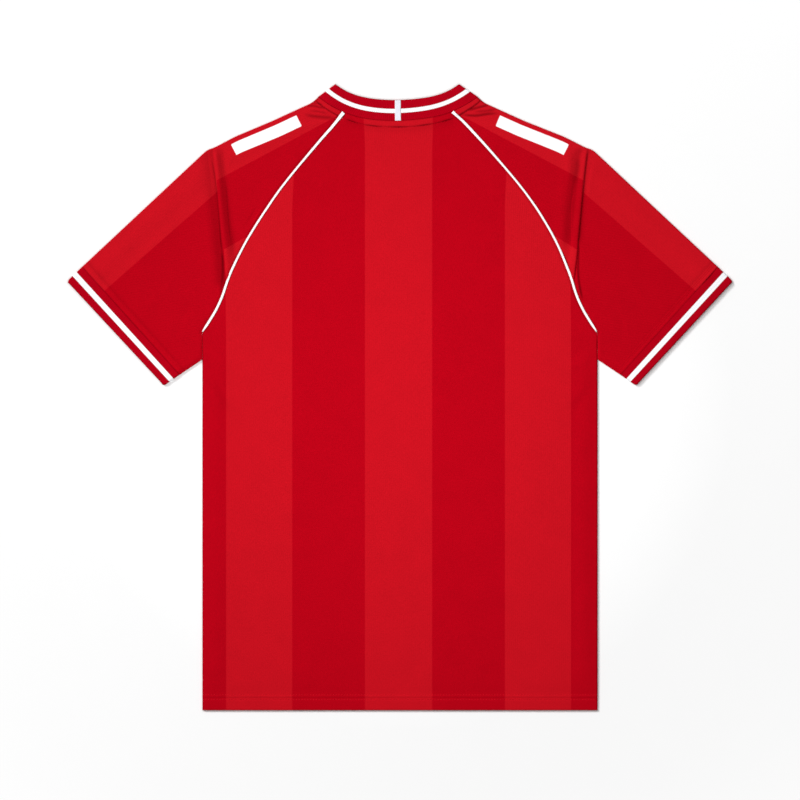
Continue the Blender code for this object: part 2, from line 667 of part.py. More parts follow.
def build_jersey():
    """Build every piece of the jersey."""
    clear_scene()
    collection = bpy.data.collections.new("football_jersey")
    bpy.context.scene.collection.children.link(collection)
    build_back_panel()
    build_front_panel()
    build_collar()
    build_nape_tape()
    for side_name, side in (("left", -1), ("right", 1)):
        build_sleeve(f"sleeve_{side_name}", side)
        build_cuff(f"cuff_{side_name}", side)
        build_back_piping(f"piping_back_{side_name}", side)
        build_front_piping(f"piping_front_{side_name}", side)


build_jersey()
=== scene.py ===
"""The looks of a short-sleeved football jersey that lies flat on its front.

Each cut piece of cloth is a thin shell on the form of its CAD solid. Creases, puckers and pressed
seams are placed one by one, and stitches are small dashes of thread. Plan sizes are in millimetres,
with X across the body and Y towards the neck, and MM turns them into metres.
"""

from __future__ import annotations

import logging
import math
from dataclasses import dataclass, field
from enum import Enum
from functools import cached_property
from typing import Any, Sequence

import bmesh
import bpy
import numpy as np
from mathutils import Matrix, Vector

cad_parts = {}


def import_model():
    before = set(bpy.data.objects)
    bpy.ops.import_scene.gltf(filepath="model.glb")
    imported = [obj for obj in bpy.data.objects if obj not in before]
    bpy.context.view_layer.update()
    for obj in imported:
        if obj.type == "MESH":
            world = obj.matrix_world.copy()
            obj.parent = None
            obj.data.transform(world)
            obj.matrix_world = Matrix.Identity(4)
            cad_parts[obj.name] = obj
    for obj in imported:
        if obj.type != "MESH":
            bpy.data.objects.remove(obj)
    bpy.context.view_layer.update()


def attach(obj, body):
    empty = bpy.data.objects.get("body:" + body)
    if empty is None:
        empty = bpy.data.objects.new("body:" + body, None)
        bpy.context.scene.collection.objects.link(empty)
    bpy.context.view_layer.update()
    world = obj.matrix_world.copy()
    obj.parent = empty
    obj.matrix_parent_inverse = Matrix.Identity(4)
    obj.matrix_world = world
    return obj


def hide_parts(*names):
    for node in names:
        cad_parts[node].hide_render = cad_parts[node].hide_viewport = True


Array = np.ndarray
Point = tuple[float, float]
LOG = logging.getLogger("jersey")
MM = 0.001


# ---- curves and forms -------------------------------------------------------------------------
def ease(share: Array | float) -> Array:
    """0 to 1 with a level start and end.

    Args:
        share: how far along, clipped to 0 to 1.

    Returns:
        The eased share.
    """
    share = np.clip(share, 0.0, 1.0)
    return share * share * (3.0 - 2.0 * share)


def swell(offset: Array, half_width: Array | float) -> Array:
    """A smooth hump across an offset.

    Args:
        offset: distance from the hump's middle.
        half_width: distance at which the hump has died.

    Returns:
        1 in the middle, 0 from half_width on.
    """
    share = np.clip(np.abs(offset) / half_width, 0.0, 1.0)
    return np.cos(share * math.pi / 2.0) ** 2


class Path:
    """A curve in plan, read by the distance along it."""

    SPAN_STEPS = 24
    REACH = 12.0  # a shifted path is carried on this far past both its ends

    def __init__(self, points: Any) -> None:
        """Keep the points and the distance to each."""
        self.points = np.asarray(points, float)
        steps = np.linalg.norm(np.diff(self.points, axis=0), axis=1)
        self.run = np.concatenate([[0.0], np.cumsum(steps)])
        self.length = float(self.run[-1])

    @classmethod
    def smooth(cls, points: Any) -> Path:
        """A path that passes smoothly through every point.

        Args:
            points: at least two plan points.

        Returns:
            The path.
        """
        points = np.asarray(points, float)
        padded = np.vstack([2.0 * points[0] - points[1], points, 2.0 * points[-1] - points[-2]])
        share = np.linspace(0.0, 1.0, cls.SPAN_STEPS, endpoint=False)[:, None]
        spans = []
        for a, b, c, d in zip(padded, padded[1:], padded[2:], padded[3:]):
            linear = (c - a) * share
            square = (2.0 * a - 5.0 * b + 4.0 * c - d) * share**2
            cube = (3.0 * b - a - 3.0 * c + d) * share**3
            spans.append(b + 0.5 * (linear + square + cube))
        return cls(np.vstack([*spans, points[-1:]]))

    @classmethod
    def bezier(cls, controls: Sequence[Point]) -> Path:
        """The cubic Bezier curve with these four control points.

        Args:
            controls: start, two handles and end.

        Returns:
            The path.
        """
        a, b, c, d = (np.array(point) for point in controls)
        t = np.linspace(0.0, 1.0, 2 * cls.SPAN_STEPS)[:, None]
        s = 1.0 - t
        return cls(s**3 * a + 3 * s**2 * t * b + 3 * s * t**2 * c + t**3 * d)

    @classmethod
    def rounded(cls, corners: Sequence[Point], reach: float) -> Path:
        """Straight runs between corners, with each inner corner rounded.

        Args:
            corners: the corners in order.
            reach: distance from a corner at which its rounding starts.

        Returns:
            The path.
        """
        at = np.asarray(corners, float)
        share = np.linspace(0.0, 1.0, cls.SPAN_STEPS // 3)[:, None]
        runs = [at[:1]]
        for before, corner, after in zip(at, at[1:], at[2:]):
            start = corner + reach * (before - corner) / np.linalg.norm(before - corner)
            end = corner + reach * (after - corner) / np.linalg.norm(after - corner)
            runs.append((1 - share) ** 2 * start + 2 * share * (1 - share) * corner + share**2 * end)
        return cls(np.vstack([*runs, at[-1:]]))

    def at(self, distance: Any) -> Array:
        """Points at distances along the path, with the ends carried on straight.

        Args:
            distance: one distance or several.

        Returns:
            One plan point a row.
        """
        distance = np.atleast_1d(np.asarray(distance, float))
        inside = np.clip(distance, 0.0, self.length)
        found = np.stack([np.interp(inside, self.run, self.points[:, k]) for k in (0, 1)], axis=1)
        return found + (distance - inside)[:, None] * self.direction(distance)

    def direction(self, distance: Any) -> Array:
        """Unit directions of the path at distances along it.

        Args:
            distance: one distance or several.

        Returns:
            One direction a row.
        """
        distance = np.clip(np.atleast_1d(distance), 0.0, self.length)
        index = np.clip(np.searchsorted(self.run, distance) - 1, 0, len(self.points) - 2)
        step = self.points[index + 1] - self.points[index]
        return step / np.linalg.norm(step, axis=1)[:, None]

    def even(self, count: int) -> Array:
        """This many points at even distances, both ends included."""
        return self.at(np.linspace(0.0, self.length, count))

    def shifted(self, amount: float) -> Path:
        """The path moved to the left of its direction, with both ends carried on."""
        distance = np.linspace(-self.REACH, self.length + self.REACH, 12 * self.SPAN_STEPS)
        normal = self.direction(distance)[:, ::-1] * (-1.0, 1.0)
        return Path(self.at(distance) + normal * amount)

    def between(self, start: float, end: float) -> Path:
        """The stretch from one distance to another."""
        inner = self.run[(self.run > start) & (self.run < end)]
        return Path(self.at(np.concatenate([[start], inner, [end]])))

    def nearest_run(self, point: Array) -> float:
        """The distance along the path of its point nearest to a plan point."""
        return float(self.run[np.argmin(np.linalg.norm(self.points - point, axis=1))])

    def measure(self, x: Array, y: Array, reach: float = 1e9) -> tuple[Array, Array]:
        """Where plan points lie beside the path.

        Args:
            x: across the body.
            y: towards the neck.
            reach: points further than this from the path's box aren't looked at.

        Returns:
            The signed distance of each point, positive to the left of the path, and its
            distance along the path.
        """
        away, along = np.full(x.shape, 1e9), np.zeros(x.shape)
        low, high = self.points.min(0) - reach, self.points.max(0) + reach
        close = np.nonzero((x >= low[0]) & (x <= high[0]) & (y >= low[1]) & (y <= high[1]))
        here = np.stack([x[close], y[close]], axis=1)
        start, step = self.points[:-1], np.diff(self.points, axis=0)
        found_away, found_along = [], []
        for part in np.array_split(here, max(1, len(here) // 4000)):
            offset = part[:, None, :] - start
            share = np.clip((offset * step).sum(2) / (step**2).sum(1), 0.0, 1.0)
            gap = offset - share[:, :, None] * step
            distance = np.linalg.norm(gap, axis=2)
            best = distance.argmin(1)
            row = np.arange(len(part))
            side = step[best, 0] * offset[row, best, 1] - step[best, 1] * offset[row, best, 0]
            found_away.append(distance[row, best] * np.where(side >= 0, 1.0, -1.0))
            spans = self.run[best + 1] - self.run[best]
            found_along.append(self.run[best] + share[row, best] * spans)
        if len(here):
            away[close], along[close] = np.concatenate(found_away), np.concatenate(found_along)
        return away, along


# ---- the cut, laid flat -------------------------------------------------------------------------
@dataclass(frozen=True)
class Cut:
    """The jersey's outline and seam lines in plan, on the side of positive X."""

    seam_gap: float = 0.3
    body_half: float = 237.0
    hem_y: float = -375.0
    hem_corner: float = 2.0
    underarm_y: float = 78.0
    out_of_tuck: Point = (237.3, 45.6)
    fold_corners: tuple[Point, ...] = (
        (95.4, 360.5),
        (102.4, 354.0),
        (150.0, 332.1),
        (197.5, 312.7),
        (222.5, 299.8),
        (231.2, 297.0),
        (381.2, 156.8),
    )
    fold_rounding: float = 4.5
    raglan_points: tuple[Point, ...] = (
        (66.9, 341.0),
        (107.4, 295.8),
        (148.8, 245.4),
        (181.5, 195.0),
        (202.2, 151.8),
        (212.1, 123.0),
        (219.3, 106.8),
        (227.3, 93.0),
        (237.0, 78.0),
    )
    back_seam: tuple[Point, ...] = ((0.0, 332.0), (36.0, 332.0), (65.0, 335.6), (95.4, 360.5))
    back_edge: tuple[Point, ...] = ((0.0, 356.6), (33.0, 356.6), (56.0, 360.6), (75.0, 375.6))
    front_seam: tuple[Point, ...] = ((0.0, 248.5), (45.0, 248.5), (78.4, 308.2), (95.4, 360.5))
    front_edge: tuple[Point, ...] = ((0.0, 272.8), (36.0, 272.8), (62.0, 322.0), (75.0, 375.6))
    cuff_outer: tuple[Point, Point] = ((399.3, 139.5), (282.9, 14.3))
    cuff_seam: tuple[Point, Point] = ((381.2, 156.8), (264.6, 27.2))
    neck_lean: float = -2.2  # the neck lies this far to one side
    neck_lean_from: float = 296.0
    neck_lean_full: float = 342.0
    sway: tuple[Point, ...] = (  # place towards the neck, and how far the raglan seam wanders
        (60.0, 0.0),
        (80.0, -0.5),
        (131.0, -0.5),
        (155.0, 0.0),
        (179.0, 1.0),
        (203.0, 1.7),
        (227.0, 2.1),
        (263.0, 1.55),
        (299.0, 0.95),
        (311.0, 1.1),
        (323.0, 1.8),
        (331.0, 1.7),
        (340.0, 0.8),
        (352.0, 0.0),
    )
    sway_reach: float = 30.0  # the cloth follows the seam up to this far from it
    right_pull: float = -2.3  # at the neck the right seam is pulled towards the nape
    pull_from: float = 330.0
    pull_over: float = 18.0
    hitch: float = 1.4  # the right half of the neck lies this much higher
    hitch_middle: Point = (40.0, 342.0)
    hitch_reach: Point = (52.0, 44.0)

    @cached_property
    def fold(self) -> Path:
        """The top fold of the shoulder and sleeve."""
        return Path.rounded(self.fold_corners, self.fold_rounding)

    @cached_property
    def raglan(self) -> Path:
        """The raglan seam, from the collar to the underarm."""
        return Path.smooth(self.raglan_points)

    @cached_property
    def back_neck(self) -> Path:
        """The collar's seam on the back."""
        return Path.bezier(self.back_seam)

    @cached_property
    def front_neck(self) -> Path:
        """The collar's seam on the front."""
        return Path.bezier(self.front_seam)

    @cached_property
    def collar_width(self) -> float:
        """Width of the collar's band at the middle of the back."""
        return self.back_edge[0][1] - self.back_seam[0][1]

    def lean(self, y: Array) -> Array:
        """Sideways shift of the neck, none below the shoulders."""
        share = (y - self.neck_lean_from) / (self.neck_lean_full - self.neck_lean_from)
        return self.neck_lean * ease(share)

    def wander(self, x: Array, y: Array) -> Array:
        """Sideways shift of the cloth beside the raglan seams.

        Args:
            x: across the body.
            y: towards the neck.

        Returns:
            The shift at each point.
        """
        seam = self.raglan.points[::-1]
        away = np.abs(np.abs(x) - np.interp(y, seam[:, 1], seam[:, 0]))
        places, shifts = np.array(self.sway).T
        pull = np.where(x > 0, self.right_pull, 0.0) * ease((y - self.pull_from) / self.pull_over)
        follow = 1.0 - ease((away - 4.0) / self.sway_reach)
        return (np.interp(y, places, shifts) + pull) * follow

    def hitched(self, x: Array, y: Array) -> Array:
        """Shift of the neck's cloth towards the head, at the right of the nape."""
        (mid_x, mid_y), (reach_x, reach_y) = self.hitch_middle, self.hitch_reach
        return self.hitch * swell(np.hypot((x - mid_x) / reach_x, (y - mid_y) / reach_y), 1.0)

    def raglan_edge(self, shift: float, neck: Path) -> Path:
        """The raglan seam moved sideways, between a neck curve and the underarm.

        Args:
            shift: how far, positive towards the sleeve.
            neck: the neck curve at which it starts.

        Returns:
            The path of a piece's edge.
        """
        path = self.raglan.shifted(shift)
        neck_y = np.interp(path.points[:, 0], neck.points[:, 0], neck.points[:, 1])
        below = np.nonzero(path.points[:, 1] < neck_y - self.seam_gap / 2)[0][0]
        past = np.nonzero(path.points[:, 0] > self.body_half)[0][0]
        return path.between(path.run[below], path.run[past])

    def collar_line(self, back: bool, across: float) -> Path:
        """A line along the collar, from its middle to the fold at its tip.

        Args:
            back: True for the back half, False for the front half.
            across: share of the way from the seam to the edge.

        Returns:
            The path.
        """
        seam, edge = (
            (self.back_seam, self.back_edge) if back else (self.front_seam, self.front_edge)
        )
        count = 4 * Path.SPAN_STEPS
        start, end = Path.bezier(seam).even(count), Path.bezier(edge).even(count)
        return Path(start + across * (end - start))


@dataclass(frozen=True)
class Wrinkle:
    """A soft ridge along a line, or a trough where its height is below 0."""

    line: tuple[Point, ...]
    height: float
    left_width: float
    right_width: float
    taper: float = 0.35  # share of its length over which it rises and dies

    def rise(self, x: Array, y: Array) -> Array:
        """Height that the wrinkle adds.

        Args:
            x: across the body.
            y: towards the neck.

        Returns:
            The height at each point.
        """
        path = Path.smooth(self.line)
        away, along = path.measure(x, y, max(self.left_width, self.right_width))
        share = along / path.length
        envelope = ease(np.minimum(share, 1.0 - share) / self.taper)
        width = np.where(away > 0, self.left_width, self.right_width)
        return self.height * envelope * swell(away, width)


@dataclass(frozen=True)
class Crease:
    """The roll of spare cloth from the shoulder tip to the raglan seam, on one side.

    profile holds pairs of distance from the line, positive towards the cuff, and height. The
    shades hold the same distances with the painted shade beside the roll, at the tip and the foot.
    """

    profile: tuple[Point, ...]
    tip_shade: tuple[Point, ...]
    foot_shade: tuple[Point, ...]
    line: tuple[Point, ...] = (
        (208.2, 142.0),
        (211.8, 179.0),
        (214.2, 203.0),
        (219.5, 259.0),
        (223.6, 295.0),
    )
    lower_fade: float = 8.0  # it grows from nothing over this length at its lower end
    upper_fade: float = 5.0
    clear: float = 4.0  # it dies over this distance from the raglan seam
    valley_fade: float = 34.0  # the hollow on the body's side goes shallow towards the foot
    shade_from: float = -14.0  # place of the shade's lower end, from the lower end of the line
    shade_over: float = 14.0  # length over which it grows there

    @cached_property
    def path(self) -> Path:
        """The line of the roll, from its lower to its upper end."""
        return Path.smooth(self.line)

    def offset(self, x: Array, y: Array) -> Array:
        """Distance from the line, positive towards the cuff."""
        return np.abs(x) - np.interp(y, self.path.points[:, 1], self.path.points[:, 0])

    def rise(self, x: Array, y: Array) -> Array:
        """Height that the roll and its hollows add.

        Args:
            x: across the body.
            y: towards the neck.

        Returns:
            The height at each point.
        """
        low, high = self.path.points[0, 1], self.path.points[-1, 1]
        envelope = ease((y - low + 6.0) / self.lower_fade) * ease((high - y) / self.upper_fade)
        shape = Path.smooth(self.profile).points
        return envelope * np.interp(self.offset(x, y), shape[:, 0], shape[:, 1])

    def shade(self, x: Array, y: Array) -> Array:
        """Painted shade beside the roll, 0 to 1.

        Args:
            x: across the body.
            y: towards the neck.

        Returns:
            The shade at each point.
        """
        low, high = self.path.points[0, 1], self.path.points[-1, 1]
        offset = self.offset(x, y)
        tip, foot = (np.interp(offset, *np.array(p).T) for p in (self.tip_shade, self.foot_shade))
        shade = foot + ease((y - low - 40.0) / (high - low - 40.0)) * (tip - foot)
        valley = ease((y - low - 10.0) / self.valley_fade)
        foot_end = ease((y - low - self.shade_from) / self.shade_over)
        ends = foot_end * ease((high + 5.0 - y) / 4.0)
        return ends * shade * np.where(offset < -2.0, valley, 1.0)


LEFT_ROLL = Crease(
    profile=(
        (-26.0, 0.0),
        (-19.0, -0.1),
        (-15.0, -0.5),
        (-12.0, -1.0),
        (-9.5, -0.8),
        (-7.0, -0.1),
        (-4.5, 0.8),
        (-2.5, 1.3),
        (-1.0, 1.2),
        (0.4, 0.5),
        (1.7, -0.5),
        (3.5, -0.6),
        (7.0, -0.1),
        (13.0, 0.4),
        (22.0, 0.2),
        (32.0, 0.0),
    ),
    tip_shade=(
        (-18.0, 0.0),
        (-14.0, 0.05),
        (-10.0, 0.2),
        (-7.0, 0.35),
        (-4.0, 0.3),
        (-2.2, 0.05),
        (-0.8, 0.0),
        (0.6, 0.1),
        (1.8, 0.35),
        (3.4, 0.3),
        (6.2, 0.08),
        (8.2, 0.3),
        (14.0, 0.15),
        (24.0, 0.0),
    ),
    foot_shade=(
        (-18.0, 0.0),
        (-15.0, 0.08),
        (-13.0, 0.22),
        (-11.4, 0.42),
        (-9.0, 0.48),
        (-5.4, 0.3),
        (-3.0, 0.1),
        (-1.0, 0.0),
        (0.2, 0.05),
        (1.2, 0.4),
        (2.2, 0.6),
        (4.0, 0.38),
        (7.0, 0.4),
        (9.0, 0.35),
        (12.0, 0.2),
        (15.0, 0.08),
        (18.0, 0.0),
    ),
)
RIGHT_ROLL = Crease(
    profile=(
        (-30.0, 0.0),
        (-23.0, 0.3),
        (-18.0, 0.1),
        (-14.0, -0.5),
        (-10.0, -0.7),
        (-7.5, -0.4),
        (-5.0, 0.4),
        (-2.5, 0.9),
        (-0.8, 1.0),
        (0.4, 0.6),
        (1.6, -0.6),
        (3.0, -0.7),
        (6.0, -0.2),
        (12.0, 0.0),
    ),
    tip_shade=(
        (-19.0, 0.0),
        (-16.0, 0.1),
        (-13.0, 0.25),
        (-9.0, 0.38),
        (-7.0, 0.34),
        (-5.0, 0.12),
        (-3.8, 0.0),
        (-1.0, 0.0),
        (0.0, 0.3),
        (1.2, 0.6),
        (2.4, 0.5),
        (3.8, 0.2),
        (5.5, 0.05),
        (8.0, 0.0),
    ),
    foot_shade=(
        (-23.0, 0.0),
        (-19.0, 0.15),
        (-16.0, 0.33),
        (-13.5, 0.45),
        (-11.0, 0.42),
        (-8.0, 0.3),
        (-6.5, 0.15),
        (-5.0, 0.05),
        (-1.2, 0.1),
        (0.0, 0.35),
        (1.4, 0.85),
        (2.4, 0.85),
        (3.6, 0.55),
        (5.0, 0.28),
        (7.0, 0.1),
        (10.0, 0.0),
    ),
    shade_from=30.0,
    shade_over=26.0,
)


@dataclass(frozen=True)
class Lay:
    """How the upper and the lower layer lie: heights and relief, in millimetres."""

    cut: Cut = field(default_factory=Cut)
    wall: float = 1.0
    lower: float = 0.5
    upper: float = 3.0
    rib_wall: float = 1.6
    rib_lower: float = 0.8
    rib_upper: float = 3.3
    hem_depth: float = 18.4
    hem_step: float = 0.3
    step_width: float = 2.0
    hem_fall: float = 34.0
    hem_drop: float = 0.7
    neck_sag: float = 0.6
    neck_sag_centre: float = 350.0
    neck_sag_reach: Point = (54.0, 58.0)
    side_ramp: float = 18.0
    fold_puff: float = 0.8
    puff_from_edge: float = 17.0
    puff_width: float = 16.0
    puff_ramp: float = 60.0
    seam_dip: float = 0.35  # the cloth sinks towards the piping
    seam_dip_width: float = 6.0
    seam_ditch: float = 0.35  # and is pulled in right beside it
    seam_ditch_from: float = 2.4
    seam_ditch_width: float = 1.8
    pucker: float = 0.16  # the seam's thread gathers the cloth in small waves
    pucker_pitch: float = 15.0
    pucker_from_seam: float = 6.5
    pucker_width: float = 6.0
    drift: float = 0.22  # broad unevenness of cloth on a table
    allowance: float = 7.0  # depth of the seam allowance pressed below the collar
    allowance_step: float = 0.8
    groove: float = 0.28  # a row of stitches sinks the cloth this far
    groove_width: float = 1.1
    creases: tuple[Crease, Crease] = (LEFT_ROLL, RIGHT_ROLL)
    wrinkles: tuple[Wrinkle, ...] = (
        # pulled from the collar's foot over the left shoulder
        Wrinkle(((-113, 350.0), (-103, 349.8), (-96, 348.5), (-87, 346.0)), -0.9, 2.6, 3.0),
        Wrinkle(((-114, 344.5), (-100, 344.5), (-84, 341.5)), 0.7, 3.0, 3.0),
        Wrinkle(((-110, 339.0), (-96, 336.5), (-85, 335.6), (-73, 334.8)), -1.0, 3.2, 3.6),
        Wrinkle(((-128, 321.0), (-106, 327.0), (-80, 329.0)), 0.4, 5.0, 6.0),
        # the same over the right shoulder
        Wrinkle(((84, 344.0), (93.5, 346.8), (107, 350.4), (114, 352.0)), -0.9, 3.0, 2.6),
        Wrinkle(((82, 340.6), (98, 341.6), (118, 345.4)), 0.7, 2.8, 2.8),
        Wrinkle(((73, 338.0), (84, 337.8), (94, 337.4), (107, 339.2), (122, 341.0)), -1.0, 3.4, 3.0),
        Wrinkle(((126, 322.0), (102, 326.5), (78, 327.5)), 0.4, 6.0, 5.0),
        # gathered beside the left piping
        Wrinkle(((-182, 203.0), (-174, 217.0), (-166, 231.0)), 0.5, 2.2, 2.2),
        Wrinkle(((-188, 203.0), (-180, 218.0), (-172, 233.0)), -0.3, 2.6, 2.6),
        # below the nape
        Wrinkle(((-26, 320.5), (2, 317.5), (30, 318.5)), -0.3, 4.5, 4.5),
        Wrinkle(((-58, 314.0), (-30, 309.0), (-6, 309.0)), 0.25, 5.0, 6.0),
        Wrinkle(((60, 316.0), (34, 310.0), (12, 308.0)), 0.22, 6.0, 5.0),
        # at the shoulder tips, beside the roll
        Wrinkle(((-229, 289), (-224, 268), (-221, 246)), 0.45, 4.0, 4.0),
        Wrinkle(((-236, 282), (-231, 262), (-228, 240)), -0.3, 5.0, 5.0),
        Wrinkle(((-202, 300), (-206, 280), (-205, 258)), 0.4, 6.0, 5.0),
        Wrinkle(((234, 284), (229, 262), (226, 236)), 0.4, 5.0, 4.0),
        Wrinkle(((199, 302), (203, 282), (203, 256)), 0.45, 6.0, 6.0),
        # below the underarms
        Wrinkle(((-234, 70), (-221, 58), (-203, 50)), -0.5, 6.0, 7.0),
        Wrinkle(((-233, 55), (-218, 42), (-198, 33)), 0.45, 7.0, 7.0),
        Wrinkle(((-233, 26), (-214, 8), (-192, -8)), -0.35, 8.0, 8.0),
        Wrinkle(((234, 68), (220, 57), (200, 51)), -0.5, 7.0, 6.0),
        Wrinkle(((233, 52), (216, 40), (194, 32)), 0.4, 7.0, 7.0),
        Wrinkle(((233, 10), (210, -10), (188, -20)), -0.3, 8.0, 9.0),
        # along the sleeves, towards the cuffs
        Wrinkle(((-252, 228), (-290, 186), (-330, 152)), 0.35, 9.0, 9.0),
        Wrinkle(((-246, 120), (-262, 92), (-270, 60)), -0.4, 8.0, 8.0),
        Wrinkle(((-262, 150), (-290, 120), (-310, 96)), 0.3, 10.0, 9.0),
        Wrinkle(((254, 226), (292, 188), (334, 150)), 0.35, 9.0, 9.0),
        Wrinkle(((250, 118), (264, 92), (268, 62)), -0.4, 8.0, 8.0),
        Wrinkle(((266, 152), (292, 118), (308, 92)), 0.3, 9.0, 10.0),
        # across the body
        Wrinkle(((-150, 150), (-60, 128), (20, 132)), 0.25, 16.0, 18.0),
        Wrinkle(((160, 40), (60, 24), (-30, 30)), 0.22, 18.0, 16.0),
        Wrinkle(((-190, -120), (-90, -138), (10, -132)), 0.22, 18.0, 20.0),
        Wrinkle(((190, -220), (90, -236), (-20, -228)), 0.22, 20.0, 18.0),
        Wrinkle(((-120, -280), (-110, -320), (-114, -352)), 0.25, 12.0, 12.0),
        Wrinkle(((88, -290), (94, -325), (90, -354)), 0.22, 12.0, 12.0),
    )
    lower_wrinkles: tuple[Wrinkle, ...] = (
        Wrinkle(((-150, 130), (-70, 116), (10, 124)), 0.6, 12.0, 14.0),
        Wrinkle(((150, 20), (70, 0), (-20, 12)), 0.6, 14.0, 12.0),
        Wrinkle(((-180, -100), (-90, -124), (0, -112)), 0.6, 14.0, 14.0),
        Wrinkle(((180, -236), (90, -250), (-10, -240)), 0.55, 14.0, 16.0),
        Wrinkle(((-60, 236), (-40, 214), (-10, 206)), 0.5, 8.0, 8.0),
        Wrinkle(((64, 232), (46, 212), (20, 204)), 0.5, 8.0, 8.0),
        Wrinkle(((-226, 70), (-208, 52), (-186, 40)), 0.6, 8.0, 8.0),
        Wrinkle(((226, 72), (206, 50), (184, 42)), 0.6, 8.0, 8.0),
        Wrinkle(((-224, 262), (-218, 214), (-214, 160)), 0.7, 6.0, 7.0),
        Wrinkle(((224, 260), (217, 212), (213, 158)), 0.7, 7.0, 6.0),
        Wrinkle(((-258, 214), (-292, 178), (-330, 140)), 0.5, 9.0, 9.0),
        Wrinkle(((260, 212), (294, 176), (326, 142)), 0.5, 9.0, 9.0),
    )

    # painted shade along each line, as dark as its height; where the height is below 0, a painted highlight
    shades: tuple[Wrinkle, ...] = (
        # painted shade in the troughs at the collar's foot, left and right
        Wrinkle(((-113, 349.8), (-103, 349.8), (-96, 348.5), (-86, 345.6)), 0.68, 2.4, 2.4, 0.25),
        Wrinkle(((-105, 353.4), (-96, 352.6), (-89, 351.0)), 0.45, 1.8, 1.8),
        Wrinkle(((-108, 344.4), (-96, 343.0), (-82, 339.8)), 0.4, 2.0, 2.0),
        Wrinkle(((-115, 339.6), (-96, 336.5), (-85, 335.6), (-73, 334.8)), 0.62, 3.2, 3.8, 0.3),
        Wrinkle(((82, 343.4), (93.5, 346.8), (107, 350.4), (114, 352.2)), 0.85, 2.6, 2.4, 0.25),
        Wrinkle(((88, 341.8), (98, 343.0), (107, 344.0), (121, 346.4)), 0.6, 2.2, 2.2, 0.3),
        Wrinkle(((73, 338.4), (84, 338.2), (94, 337.8), (107, 339.6), (124, 341.4)), 0.85, 2.7, 2.7, 0.28),
        # painted shade where the rolls end beside the piping
        Wrinkle(((-214.0, 178), (-213.0, 164), (-212.8, 146), (-215.0, 122)), 0.5, 2.8, 2.8, 0.2),
        Wrinkle(((214.6, 186), (213.6, 160), (214.8, 140), (220.0, 114)), 0.9, 2.4, 2.4, 0.15),
        # painted shade in sharp lines in the roll of the left sleeve: at the crest's foot and in its hollow
        Wrinkle(
            (
                (-226.2, 286.8),
                (-222.8, 270.0),
                (-220.0, 250.8),
                (-218.2, 231.6),
                (-216.6, 212.4),
                (-215.4, 193.2),
                (-213.8, 172.0),
            ),
            0.36,
            1.5,
            1.5,
            0.12,
        ),
        Wrinkle(
            ((-211.1, 264.0), (-208.4, 248.4), (-207.0, 229.0), (-205.6, 207.6), (-203.6, 186.0)),
            0.26,
            1.5,
            1.5,
            0.2,
        ),
        # and of the right: painted shade and highlight lines in the hollow, and shade at its upper end
        Wrinkle(((208.8, 266.0), (206.8, 250.8), (205.6, 241.2), (204.0, 222.0)), 0.2, 1.9, 1.9),
        Wrinkle(
            ((209.2, 254.0), (208.0, 241.2), (206.2, 231.6), (205.6, 193.2), (205.6, 174.0)),
            -0.26,
            1.5,
            1.5,
            0.25,
        ),
        Wrinkle(((211.8, 294.0), (212.6, 278.4), (210.6, 264.0), (208.4, 250.0)), 0.3, 6.0, 6.0),
        # beside the left piping, a painted highlight where it is gathered, with painted shade beside it
        Wrinkle(((-182, 203.0), (-174, 217.0), (-166, 231.0)), -0.22, 1.7, 1.7),
        Wrinkle(((-188, 203.0), (-180, 218.0), (-172, 233.0)), 0.12, 2.4, 2.4),
        # painted shade below the ends of the pipings
        Wrinkle(((-235, 98), (-231, 86), (-229, 74)), 0.2, 3.0, 3.0),
        Wrinkle(((-232, 26), (-218, 6), (-204, -22)), 0.1, 8.0, 8.0),
        Wrinkle(((232, 22), (216, 2), (202, -26)), 0.1, 8.0, 8.0),
    )

    def shade(self, x: Array, y: Array) -> Array:
        """Painted shade of the upper layer in its troughs and beside the piping.

        Args:
            x: across the body, on both sides of the middle.
            y: towards the neck.

        Returns:
            The painted shade at each point, 1 for the darkest and below 0 for a painted highlight.
        """
        away, _ = self.cut.raglan.measure(np.abs(x), y, 8.0)
        # painted shade in the ditch beside the piping
        ditch = 0.25 * swell(np.abs(away) - self.seam_ditch_from, self.seam_ditch_width)
        return ditch + sum(shade.rise(x, y) for shade in self.shades)

    def pressed(self, below: Array) -> Array:
        """Height of the collar's seam allowance at distances below its seam."""
        return self.allowance_step * (1.0 - ease((below - self.allowance) / 1.2))

    def lower_rise(self, x: Array, y: Array) -> Array:
        """Height of soft troughs in the lower layer, which stand up from the table."""
        return sum(wrinkle.rise(x, y) for wrinkle in self.lower_wrinkles)

    def seam_relief(self, x: Array, y: Array) -> Array:
        """Dip and puckers beside the back raglan seams.

        Args:
            x: across the body.
            y: towards the neck.

        Returns:
            The height at each point.
        """
        away, along = self.cut.raglan.measure(np.abs(x), y, 16.0)
        ends = ease(along / 12.0) * ease((self.cut.raglan.length - along) / 12.0)
        dip = self.seam_dip * swell(away, self.seam_dip_width)
        dip = dip + self.seam_ditch * swell(
            np.abs(away) - self.seam_ditch_from, self.seam_ditch_width
        )
        wave = np.sin(2 * math.pi * along / self.pucker_pitch + np.sin(along / 21.0) + np.sign(x))
        near = swell(np.abs(away) - self.pucker_from_seam, self.pucker_width)
        return self.pucker * wave * near * ends - dip

    def puff(self, x: Array, y: Array) -> Array:
        """Swell of the cloth beside the shoulder fold and the body's side edges."""
        away, _ = self.cut.fold.measure(np.abs(x), y, 40.0)
        shoulder = swell(np.abs(away) - self.puff_from_edge, self.puff_width)
        side = swell(self.cut.body_half - np.abs(x) - self.puff_from_edge, self.puff_width)
        from_hem = ease((y - self.cut.hem_y) / self.puff_ramp)
        below = ease((self.cut.underarm_y - y) / self.puff_ramp) * from_hem
        return self.fold_puff * (shoulder + side * below)

